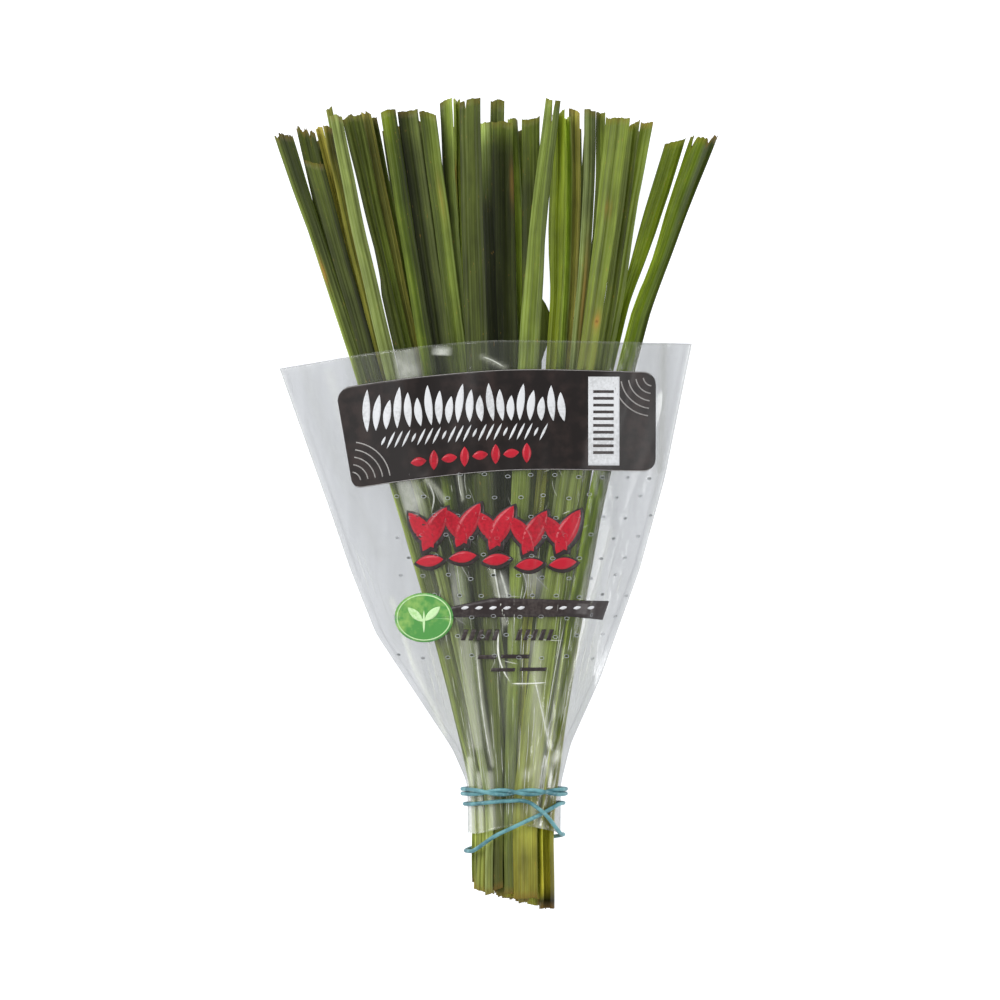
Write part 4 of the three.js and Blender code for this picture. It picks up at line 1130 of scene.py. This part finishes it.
# What is printed on the film: red leaf shapes with dark outlines, a dark ribbon and short bars
filmArt = {
    "leaves": {  # in pairs, as (how far each leans, its size), with a small one lying below
        "count": 5, "first": (-26.5, -15.5), "step": 13.3, "rise": 1.6, "riseWave": 1.4,
        "pair": ((0.5, 1.0), (-0.62, 0.86)), "spread": (5.2, 6.2),
        "length": 20, "width": 7.6, "bend": 0.8,
        "lying": (0.4, -7.2, 11, 4.6, 0.12), "lyingOutline": (0.7, -7.7, 13.6, 6.6, 0.12),
        "outlineShift": (0.3, -0.5), "outlineMore": (3.4, 2.6),
    },
    "ribbon": {
        "left": -18.4, "length": 62.8, "slant": 2.6,
        "top": [(0, -41.2), (0.28, -37.3), (0.8, -38.4), (1, -38.8)],
        "foot": [(0, -45.2), (0.28, -45.1), (0.8, -45.0), (1, -46.4)],
    },
    "gaps": {  # pale ones in the ribbon
        "count": 10, "none": (5,), "first": (-12, -41.4), "step": 5.6, "shape": (3.2, 1.3, 0.2),
    },
    # bars, as (left, right, foot, top)
    "bars": {
        "count": 12, "none": (5, 6), "first": (-13, -11.2, -54.4, -50), "step": 3.1, "slant": 1.4,
    },
    "lines": ((-6.8, 0.4, -61.8, -60.2), (2.4, 13.6, -61.6, -60.0),
              (-1.5, 8, -66.8, -65.4), (10, 20.5, -66.6, -65.2)),
    "lineSlant": 0.4,
}


def redLeaves():
    look = filmArt["leaves"]
    (shiftX, shiftY), (longer, wider) = look["outlineShift"], look["outlineMore"]
    red, outline = [], []
    for i in range(look["count"]):
        x = look["first"][0] + look["step"] * i
        y = look["first"][1] + look["rise"] * math.sin(look["riseWave"] * i)
        for lean, size in look["pair"]:
            turn, bend = upright - lean, look["bend"] * lean
            cx, cy = x + look["spread"][0] * math.cos(turn), y + look["spread"][1] * math.sin(turn)
            long, wide = look["length"] * size, look["width"] * size
            red.append(lens(cx, cy, long, wide, turn, bend))
            outline.append(lens(cx + shiftX, cy + shiftY, long + longer, wide + wider, turn, bend))
        for shapes, (dx, dy, *size) in ((red, look["lying"]), (outline, look["lyingOutline"])):
            shapes.append(lens(x + dx, y + dy, *size))
    return red, outline


def ribbonAndBars():
    ribbon, bars = filmArt["ribbon"], filmArt["bars"]
    u, v = np.meshgrid(np.linspace(0, 1, 61), np.linspace(0, 1, 5))
    x = ribbon["left"] + ribbon["length"] * u + ribbon["slant"] * (v - 0.5) * u
    top, foot = tableAt(ribbon["top"], u), tableAt(ribbon["foot"], u)
    dark = [np.stack([x, foot + (top - foot) * v], axis=2)]
    left, right, foot, top = bars["first"]
    for i in range(bars["count"]):
        if i not in bars["none"]:
            step = bars["step"] * i
            dark.append(bar(left + step, right + step, foot, top, bars["slant"], 3, 4))
    return dark + [bar(*line, filmArt["lineSlant"]) for line in filmArt["lines"]]


def ribbonGaps():
    gaps = filmArt["gaps"]
    x, y = gaps["first"]
    places = [x + gaps["step"] * i for i in range(gaps["count"]) if i not in gaps["none"]]
    return [lens(place, y, *gaps["shape"], 0, 8, 2) for place in places]


# The prints of one ink, grouped for the surface they lie on
def layPrints():
    white, gems, marks = labelPrints()
    panel, rules = rulesPanel()
    red, outline = redLeaves()
    pieces = [
        ("labelBlades", white, "onLabel", "white"),
        ("labelPanel", panel, "onLabel", "white"),
        ("labelRules", rules, "rules", "dark"),
        ("labelGems", gems, "onLabel", "red"),
        ("labelArcs", marks, "onLabel", "grey"),
        ("printOutline", outline, "outline", "dark"),
        ("printLeaves", red, "onFilm", "red"),
        ("printRibbon", ribbonAndBars(), "outline", "dark"),
        ("ribbonGaps", ribbonGaps(), "onFilm", "white"),
    ]
    for name, patches, height, ink in pieces:
        onto = labelTree if name.startswith("label") else filmTree
        obj = layOn(onto, name, patches, printHeight[height], printHeight["thickness"])
        dress(obj, inks[ink], "label" if name.startswith("label") else "film")


# Round sticker, a coated paper seal with a pale rim and a sprout
stickerShape = {
    "x": -28.4, "y": -45.4, "halfWide": 11.8, "halfHigh": 9.9,
    "lift": 0.14, "thickness": 0.12,
    "rim": 0.93, "rimInner": 0.955,  # the pale rim as a share of the sticker, and its hole of it
    # the sprout's two leaves and its stem, as (x, y, length, width, turn) from the middle
    "sprout": (
        (-3.4, 1.2, 8.4, 3.2, 2.4), (3.4, 1.6, 8.4, 3.2, 0.75), (0, -1.6, 9.0, 1.0, upright),
    ),
    "green": "#47883f", "lightGreen": "#7da655", "pale": "#b9d8a4", "wornPale": "#9cc683",
}


def makeSticker():
    shape = stickerShape
    x, y, wide, high = (shape[key] for key in ("x", "y", "halfWide", "halfHigh"))
    face = layOn(filmTree, "stickerFace", [disc(x, y, wide, high, 0, 10, 64)],
                 shape["lift"], shape["thickness"])
    seal = inkMaterial("coatedPaperSeal", shape["green"], shape["lightGreen"], 0.3, 3.0)
    dress(face, seal, "sticker", "sticker")
    shapes = [disc(x, y, wide * shape["rim"], high * shape["rim"], shape["rimInner"], 1, 64)]
    shapes += [lens(x + dx, y + dy, *size) for dx, dy, *size in shape["sprout"]]
    sprout = layOn(surfaceOf(face), "stickerSprout", shapes, 0.03, printHeight["thickness"])
    dress(sprout, inkMaterial("paleSealInk", shape["pale"], shape["wornPale"], 0.35), "sticker")


# Heat-punched air holes: each has a thickened rim of melted film
perforations = {
    "left": -38.0, "right": 57.0, "foot": -63.0, "top": 5.0,
    "acrossGap": 9.6, "alongGap": 16.0, "jitter": 0.9,
    "halfWide": 0.95, "halfLong": 0.6, "bead": 0.13, "lift": 0.1,
    "steps": 12, "beadSides": 4,
    "seed": 5,
    # the dark colour in each hole paints its shadow
    "rimColours": ("#a9afb4", "#e8ecee"), "rimOpacity": 0.45, "holeShadowColour": "#20251a",
}


def perforationTree(rimMaterial, holeShadowMaterial):
    tree = bpy.data.node_groups.new("perforations", "GeometryNodeTree")
    face = tree.interface
    face.new_socket("Film", in_out="INPUT", socket_type="NodeSocketGeometry")
    for kind, names in (
        ("Float", ("Width", "Length", "Ring Half Width", "Ring Half Length", "Bead")),
        ("Vector", ("Centre", "Stagger", "Jitter", "Lift")),
        ("Int", ("Columns", "Rows", "Seed", "Steps", "Bead Sides")),
    ):
        for name in names:
            face.new_socket(name, in_out="INPUT", socket_type="NodeSocket" + kind)
    face.new_socket("Rings", in_out="OUTPUT", socket_type="NodeSocketGeometry")
    given = addNode(tree, "NodeGroupInput").outputs

    # two grids of points over the film, staggered and jittered, dropped straight down on to it
    grid = addNode(tree, "GeometryNodeMeshGrid", {}, {
        "Size X": given["Width"], "Size Y": given["Length"],
        "Vertices X": given["Columns"], "Vertices Y": given["Rows"]})
    between = addNode(tree, "GeometryNodeTransform", {},
                      {"Geometry": grid, "Translation": given["Stagger"]})
    both = addNode(tree, "GeometryNodeJoinGeometry", {}, {"Geometry": grid})
    tree.links.new(between.outputs[0], both.inputs[0])
    low = addNode(tree, "ShaderNodeVectorMath", {"operation": "SCALE"},
                  {0: given["Jitter"], 3: -1.0})
    jitter = addNode(tree, "FunctionNodeRandomValue", {"data_type": "FLOAT_VECTOR"},
                     {0: low, 1: given["Jitter"], "Seed": given["Seed"]})
    offset = addNode(tree, "ShaderNodeVectorMath", {"operation": "ADD"},
                     {0: given["Centre"], 1: jitter})
    above = addNode(tree, "GeometryNodeSetPosition", {}, {"Geometry": both, "Offset": offset})
    ray = addNode(tree, "GeometryNodeRaycast", {"data_type": "FLOAT_VECTOR"}, {
        "Target Geometry": given["Film"], "Ray Direction": (0, 0, -1), "Ray Length": overhead})
    hitNormal = ray.outputs["Hit Normal"]
    missed = addNode(tree, "FunctionNodeBooleanMath", {"operation": "NOT"},
                     {0: ray.outputs["Is Hit"]})
    stored = addNode(tree, "GeometryNodeStoreNamedAttribute", {"data_type": "FLOAT_VECTOR"},
                     {"Geometry": above, "Name": "facing", "Value": hitNormal})
    kept = addNode(tree, "GeometryNodeDeleteGeometry", {"domain": "POINT"},
                   {"Geometry": stored, "Selection": missed})
    lifted = addNode(tree, "ShaderNodeVectorMath", {"operation": "MULTIPLY_ADD"},
                     {0: hitNormal, 1: given["Lift"], 2: ray.outputs["Hit Position"]})
    laid = addNode(tree, "GeometryNodeSetPosition", {}, {"Geometry": kept, "Position": lifted})
    facing = addNode(tree, "GeometryNodeInputNamedAttribute", {"data_type": "FLOAT_VECTOR"},
                     {"Name": "facing"})
    turned = addNode(tree, "FunctionNodeAlignRotationToVector", {"axis": "Z"}, {"Vector": facing})

    # one oval rim, with a dark disc of painted shadow in its open middle
    circle = addNode(tree, "GeometryNodeCurvePrimitiveCircle", {},
                     {"Resolution": given["Steps"], "Radius": 1.0})
    wide = addNode(tree, "ShaderNodeCombineXYZ", {},
                   {0: given["Ring Half Width"], 1: given["Ring Half Length"], 2: 1.0})
    oval = addNode(tree, "GeometryNodeTransform", {}, {"Geometry": circle, "Scale": wide})
    bead = addNode(tree, "GeometryNodeCurvePrimitiveCircle", {},
                   {"Resolution": given["Bead Sides"], "Radius": given["Bead"]})
    rim = addNode(tree, "GeometryNodeCurveToMesh", {}, {"Curve": oval, "Profile Curve": bead})
    hole = addNode(tree, "GeometryNodeFillCurve", {"mode": "NGONS"}, {"Curve": oval})
    marked = addNode(tree, "GeometryNodeStoreNamedAttribute",
                     {"data_type": "BOOLEAN", "domain": "FACE"},
                     {"Geometry": hole, "Name": "open", "Value": True})
    ring = addNode(tree, "GeometryNodeJoinGeometry", {}, {"Geometry": rim})
    tree.links.new(marked.outputs[0], ring.inputs[0])
    rings = addNode(tree, "GeometryNodeInstanceOnPoints", {},
                    {"Points": laid, "Instance": ring, "Rotation": turned})

    real = addNode(tree, "GeometryNodeRealizeInstances", {}, {"Geometry": rings})
    smooth = addNode(tree, "GeometryNodeSetShadeSmooth", {}, {"Geometry": real})
    coated = addNode(tree, "GeometryNodeSetMaterial", {},
                     {"Geometry": smooth, "Material": rimMaterial})
    inside = addNode(tree, "GeometryNodeInputNamedAttribute", {"data_type": "BOOLEAN"},
                     {"Name": "open"})
    opened = addNode(tree, "GeometryNodeSetMaterial", {},
                     {"Geometry": coated, "Selection": inside, "Material": holeShadowMaterial})
    addNode(tree, "NodeGroupOutput", {}, {"Rings": opened})
    return tree


# The open middle of an air hole: a dark, partly clear disc that paints the shade of its rim
def holeMaterial():
    material, tree = newMaterial("paintedHoleShadow")
    place = addNode(tree, "ShaderNodeTexCoord").outputs["Object"]
    grain = addNode(tree, "ShaderNodeTexNoise", {}, {"Vector": place, "Scale": 400, "Detail": 1.0})
    opacity = addNode(tree, "ShaderNodeMapRange", {}, {0: grain, 1: 0.35, 2: 0.65, 3: 0.15, 4: 0.6})
    colour = linearColour(perforations["holeShadowColour"])
    finishMaterial(tree, addNode(tree, "ShaderNodeBsdfDiffuse", {}, {"Color": colour}), opacity)
    return material


# Melted and set again, so milky: white rims that catch the light
def beadMaterial():
    material, tree = newMaterial("meltedFilmRim")
    place = addNode(tree, "ShaderNodeTexCoord").outputs["Object"]
    grain = addNode(tree, "ShaderNodeTexNoise", {}, {"Vector": place, "Scale": 900, "Detail": 2.0})
    grey, white = perforations["rimColours"]
    colour = addNode(tree, "ShaderNodeMix", {"data_type": "RGBA"},
                     {0: grain, 6: linearColour(grey), 7: linearColour(white)}).outputs[2]
    shader = addNode(tree, "ShaderNodeBsdfPrincipled", {}, {"Base Color": colour, "Roughness": 0.2})
    finishMaterial(tree, shader, perforations["rimOpacity"])
    return material


def makePerforations():
    holder = linkObject("rings", filmSheet.data.copy())
    modifier = holder.modifiers.new("perforations", "NODES")
    modifier.node_group = perforationTree(beadMaterial(), holeMaterial())
    looks = ("rimColours", "rimOpacity", "holeShadowColour")
    p = {key: value * mm for key, value in perforations.items() if key not in looks}
    width, length = p["right"] - p["left"], p["top"] - p["foot"]
    columns, rows = round(width / p["acrossGap"]), round(length / p["alongGap"])
    sizes = {
        "Width": columns * p["acrossGap"], "Length": rows * p["alongGap"],
        "Columns": columns + 1, "Rows": rows + 1, "Seed": perforations["seed"],
        "Centre": ((p["right"] + p["left"]) / 2, (p["top"] + p["foot"]) / 2, overhead),
        "Stagger": (p["acrossGap"] / 2, p["alongGap"] / 2, 0.0),
        "Jitter": (p["jitter"], p["jitter"], 0.0), "Lift": (p["lift"],) * 3,
        "Ring Half Width": p["halfWide"], "Ring Half Length": p["halfLong"],
        "Bead": p["bead"], "Steps": perforations["steps"], "Bead Sides": perforations["beadSides"],
    }
    for item in modifier.node_group.interface.items_tree:
        if item.in_out == "INPUT" and item.name in sizes:
            modifier[item.identifier] = sizes[item.name]
    evaluated = holder.evaluated_get(bpy.context.evaluated_depsgraph_get())
    mesh = bpy.data.meshes.new_from_object(evaluated)
    bpy.data.objects.remove(holder)
    rings = linkObject("perforationRims", mesh)
    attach(rings, "root")
    facesEach = perforations["steps"] * perforations["beadSides"] + 1
    print("air holes:", len(mesh.polygons) // facesEach)


# Painted highlights along sharp folds of the film: thin bright strips, most of them fanning out
# from the neck, as (course, width, brightness)
brightFolds = [
    ([(1.6, -50), (1.2, -54.4), (1.4, -60.4), (3.4, -66.5), (6.4, -71.6)], 0.8, 1.3),
    ([(6.2, -71.6), (13, -71.6), (21, -71.2)], 0.7, 1.2),
    ([(-1.2, -20), (0.4, -30), (2.4, -40), (4.4, -47)], 1.0, 0.7),
    ([(1.8, -26), (4.2, -34), (6, -41)], 1.4, 0.5),
    ([(-5.2, 58.8), (-1, 57.2), (4, 54.4)], 0.9, 0.5),
    ([(-7.6, -56), (-6.4, -70), (-4.2, -88), (-1, -106)], 0.7, 0.5),
    ([(15.2, -67), (18.6, -82), (21.8, -97)], 0.9, 0.5),
    ([(-14.8, 13), (-14.2, 7), (-13.2, 2)], 0.5, 0.6),
    ([(-27, 9.6), (-24.4, 3), (-25.4, -4)], 0.8, 0.45),
    ([(9.6, -24), (12.5, -32), (10.6, -40)], 0.6, 0.4),
    ([(28, -46), (24, -66), (20.4, -88)], 0.6, 0.4),
]
# Soft patches where the film lies back and mirrors the pale surround
brightPatches = [
    ([(-36.2, 66), (-32.6, 44)], 12.0, 0.26), ([(-25.8, 61.4), (-16.6, 61.0)], 4.4, 0.4),
    ([(-36, 13), (-30, -8)], 10.0, 0.3), ([(2.4, -26), (5.6, -42)], 5.0, 0.22),
    ([(12, -14), (18, -40)], 9.0, 0.14), ([(56, 60), (48, 10)], 5.0, 0.12),
    ([(-16, -20), (-12, -50)], 7.0, 0.14),
]
# Scattered ones, from one seed: long folds that fan out from the neck, and short crumples
fanFolds = {
    "count": 100, "seed": 23,
    "top": -34, "foot": -126, "fromWeld": 4,
    "length": (7, 26), "bend": 0.5, "width": (0.14, 0.42), "bright": (0.15, 0.65),
}
crumples = {
    "count": 70,
    "left": -34, "right": 38, "top": 30, "foot": -70, "fromWeld": 8,
    "length": (3, 12), "turn": 0.7, "bend": 0.6, "width": (0.15, 0.6), "bright": (0.08, 0.45),
}
glintLook = {"lift": 0.06, "thickness": 0.02, "grey": "#cacfc4", "white": "#f5f7ee"}


# A strip along a course, narrow at both ends, with how bright it is at each point
def stripPatch(course, width, bright, columns, rows, soft):
    course = np.array(course, float)
    t = np.linspace(0, 1, columns + 1)
    line = curveThrough(np.linspace(0, 1, len(course)), course, t)
    slope = np.gradient(line, axis=0)
    sideways = np.stack([-slope[:, 1], slope[:, 0]], axis=1)
    sideways = sideways / np.linalg.norm(slope, axis=1)[:, None]
    v = np.linspace(-0.5, 0.5, rows + 1)
    fromEnd = np.minimum(t, 1 - t)
    taper = 1 + 0 * t if soft else np.clip(fromEnd * 5, 0.15, 1)
    patch = line[None] + sideways[None] * (v[:, None] * width * taper)[:, :, None]
    if soft:  # fades out slowly on one side and sharply on the other
        fade = np.sin(math.pi * t) ** 1.2
        profile = np.clip((0.5 - v) * 2.2, 0, 1) * np.clip((v + 0.5) * 6, 0, 1)
    else:
        fade = np.minimum(1, fromEnd * 6)
        profile = np.cos(v * math.pi) ** 0.5
    return patch, bright * fade[None] * profile[:, None]


# The film's left and right limits at a height, that far inside its welds
def betweenWelds(y, inset):
    return tableAt(sleeveLeft, y) + inset, tableAt(sleeveRight, y) - inset


def fanFold(rng):
    look = fanFolds
    y = look["foot"] + (look["top"] - look["foot"]) * rng.random() ** 1.5
    left, right = betweenWelds(y, look["fromWeld"])
    x = left + (right - left) * rng.random()
    length = rng.uniform(*look["length"])
    share = length / (y - filmShape["pleatApex"] + length)
    topX, topY = x + (x - filmShape["pleatMiddle"]) * share, y + length
    bend = rng.uniform(-look["bend"], look["bend"])
    course = [(x, y), ((x + topX) / 2 + bend, y + length / 2), (topX, topY)]
    wide, bright = rng.uniform(*look["width"]), rng.uniform(*look["bright"])
    return stripPatch(course, wide, bright, 10, 2, False)


# One crumple, or nothing where it would reach the welds
def crumple(rng):
    look = crumples
    x, y = rng.uniform(look["left"], look["right"]), rng.uniform(look["foot"], look["top"])
    left, right = betweenWelds(y, look["fromWeld"])
    if not left < x < right:
        return []
    turn, length = rng.gauss(math.pi / 2, look["turn"]), rng.uniform(*look["length"])
    dx, dy = math.cos(turn) * length / 2, math.sin(turn) * length / 2
    middle = (x + rng.uniform(-look["bend"], look["bend"]), y)
    wide, bright = rng.uniform(*look["width"]), rng.uniform(*look["bright"])
    return [stripPatch([(x - dx, y - dy), middle, (x + dx, y + dy)], wide, bright, 8, 2, False)]


def makeBrightFolds():
    made = [stripPatch(*fold, 22, 2, False) for fold in brightFolds]
    made += [stripPatch(*patch, 24, 10, True) for patch in brightPatches]
    rng = random.Random(fanFolds["seed"])
    made += [fanFold(rng) for _ in range(fanFolds["count"])]
    for _ in range(crumples["count"]):
        made += crumple(rng)
    patches = [patch for patch, _ in made]
    folds = layOn(filmTree, "filmGlints", patches, glintLook["lift"], glintLook["thickness"])
    values = np.concatenate([np.tile(bright.ravel(), 2) for _, bright in made])
    setPointValues(folds, "bright", "FLOAT", values)
    dress(folds, glintMaterial(), "film")


# Painted highlights and reflections on the film, along sharp folds and where it lies back: milky, and
# brighter than the clear film round it
def glintMaterial():
    material, tree = newMaterial("paintedFilmHighlights")
    bright = addNode(tree, "ShaderNodeAttribute", {"attribute_name": "bright"}).outputs["Fac"]
    uv = addNode(tree, "ShaderNodeUVMap", {"uv_map": "print"})
    uneven = addNode(tree, "ShaderNodeTexNoise", {"noise_dimensions": "2D"},
                     {"Vector": uv, "Scale": 0.2, "Detail": 2.0})
    broken = addNode(tree, "ShaderNodeMapRange", {}, {0: uneven, 1: 0.35, 2: 0.65, 3: 0.75})
    opacity = addNode(tree, "ShaderNodeMath", {"operation": "MULTIPLY"}, {0: bright, 1: broken})
    grey, white = linearColour(glintLook["grey"]), linearColour(glintLook["white"])
    colour = addNode(tree, "ShaderNodeMix", {"data_type": "RGBA"},
                     {0: uneven, 6: grey, 7: white}).outputs[2]
    shader = addNode(tree, "ShaderNodeBsdfPrincipled", {}, {"Base Color": colour, "Roughness": 0.3})
    finishMaterial(tree, shader, opacity)
    return material


makeBrightFolds()
layPrints()
makeSticker()
makePerforations()
print("prints, sticker and air holes made")


# Rubber bands round the neck: the frame's own bands, merged into four-sided faces and rounded
def makeBand(name):
    mesh = frame["nodes"][name].data.copy()
    mesh.name = name.replace("band", "rubberBand")
    shape = bmesh.new()
    shape.from_mesh(mesh)
    bmesh.ops.remove_doubles(shape, verts=shape.verts, dist=1e-6)
    bmesh.ops.join_triangles(
        shape, faces=shape.faces, angle_face_threshold=0.6, angle_shape_threshold=1.2
    )
    shape.to_mesh(mesh)
    shape.free()
    mesh.polygons.foreach_set("use_smooth", [True] * len(mesh.polygons))
    obj = linkObject(mesh.name, mesh)
    rounder = obj.modifiers.new("rounder", "SUBSURF")
    rounder.levels = rounder.render_levels = 2
    dress(obj, bandMaterial, slotOf[name], name)


# Cut natural rubber band, dyed: matt, slightly dusty, darker in soft patches
bandLook = {
    "colour": "#5f959b", "shade": "#31626c", "dust": "#97bcbc",
    "roughness": 0.55,
    "grain": 1.0, "grainDepth": 0.1,
}


def rubberMaterial():
    material, tree = newMaterial("dyedNaturalRubber")
    look = bandLook
    place = addNode(tree, "ShaderNodeTexCoord").outputs["Object"]
    grain, patchy = (
        addNode(tree, "ShaderNodeTexNoise", {}, {"Vector": place, "Scale": scale, "Detail": detail})
        for scale, detail in ((1000 / look["grain"], 3.0), (180, 2.0))
    )
    low = addNode(tree, "ShaderNodeMapRange", {}, {0: patchy, 1: 0.35, 2: 0.65})
    dyed = addNode(tree, "ShaderNodeMix", {"data_type": "RGBA"},
                   {0: low, 6: linearColour(look["shade"]), 7: linearColour(look["colour"])})
    dusty = addNode(tree, "ShaderNodeMapRange", {}, {0: grain, 1: 0.55, 2: 0.75, 4: 0.6})
    mix = addNode(tree, "ShaderNodeMix", {"data_type": "RGBA"},
                  {0: dusty, 6: dyed.outputs[2], 7: linearColour(look["dust"])})
    bump = addNode(tree, "ShaderNodeBump", {},
                   {"Height": grain, "Strength": 0.4, "Distance": look["grainDepth"] * mm})
    shader = addNode(tree, "ShaderNodeBsdfPrincipled", {},
                     {"Base Color": mix.outputs[2], "Roughness": look["roughness"], "Normal": bump})
    finishMaterial(tree, shader)
    return material


bandMaterial = rubberMaterial()
for name in ("band_upper", "band_lower"):
    makeBand(name)
print("bands made")


# Light table: a frosted white panel, lit from below so that hardly a shadow shows
tableTop = {
    "size": 4000, "below": 0.3,
    "colour": "#989898", "roughness": 0.8, "lamp": "#f7faff", "glow": 1.05,
}


def makeTable():
    half = tableTop["size"] / 2
    corners = [(x, y, -tableTop["below"]) for x, y in ((-half, -half), (half, -half),
                                                       (half, half), (-half, half))]
    panel = meshObject("tableTop", corners, [(0, 1, 2, 3)], closed=False)
    panel.data.polygons[0].use_smooth = False
    material, tree = newMaterial("frostedAcrylicPanel")
    finishMaterial(tree, addNode(tree, "ShaderNodeBsdfPrincipled", {}, {
        "Base Color": linearColour(tableTop["colour"]), "Roughness": tableTop["roughness"],
        "Emission Color": linearColour(tableTop["lamp"]), "Emission Strength": tableTop["glow"]}))
    panel.data.materials.append(material)


# Camera straight above the bunch, with a long lens; a large soft light from the upper left, a
# smaller one from the right, and a pale surround that is dimmer overhead, where the camera is
view = {"x": 2.0, "y": 1.6, "height": 3348, "lens": 300, "sensor": 36, "clip": 20000}
lights = [
    {"name": "softboxLeft", "place": (-1000, 700, 1100), "size": 1100, "power": 21},
    {"name": "softboxRight", "place": (1200, -100, 900), "size": 700, "power": 7},
]
surround = {"sides": 0.9, "overhead": 0.3}


def makeCamera():
    camera = bpy.data.cameras.new("camera")
    camera.lens = view["lens"]
    camera.sensor_width = view["sensor"]
    camera.clip_end = view["clip"] * mm
    obj = linkObject("camera", camera)
    obj.location = (view["x"] * mm, view["y"] * mm, view["height"] * mm)
    bpy.context.scene.camera = obj


def makeLights():
    for light in lights:
        data = bpy.data.lights.new(light["name"], "AREA")
        data.energy = light["power"]
        data.size = light["size"] * mm
        obj = linkObject(light["name"], data)
        obj.location = Vector(light["place"]) * mm
        obj.rotation_euler = (-obj.location).to_track_quat("-Z", "Y").to_euler()
    world = bpy.data.worlds.new("studio")
    bpy.context.scene.world = world
    world.use_nodes = True
    tree = world.node_tree
    tree.nodes.clear()
    direction = addNode(tree, "ShaderNodeTexCoord").outputs["Generated"]
    height = addNode(tree, "ShaderNodeSeparateXYZ", {}, {0: direction}).outputs[2]
    strength = addNode(tree, "ShaderNodeMapRange", {"interpolation_type": "SMOOTHSTEP"}, {
        0: height, 1: 0.72, 2: 0.95, 3: surround["sides"], 4: surround["overhead"]})
    background = addNode(tree, "ShaderNodeBackground", {},
                         {"Color": (1, 1, 1, 1), "Strength": strength})
    addNode(tree, "ShaderNodeOutputWorld", {}, {"Surface": background})


makeTable()
makeCamera()
makeLights()
bpy.context.scene.view_settings.view_transform = "Standard"
print("camera and lights set")
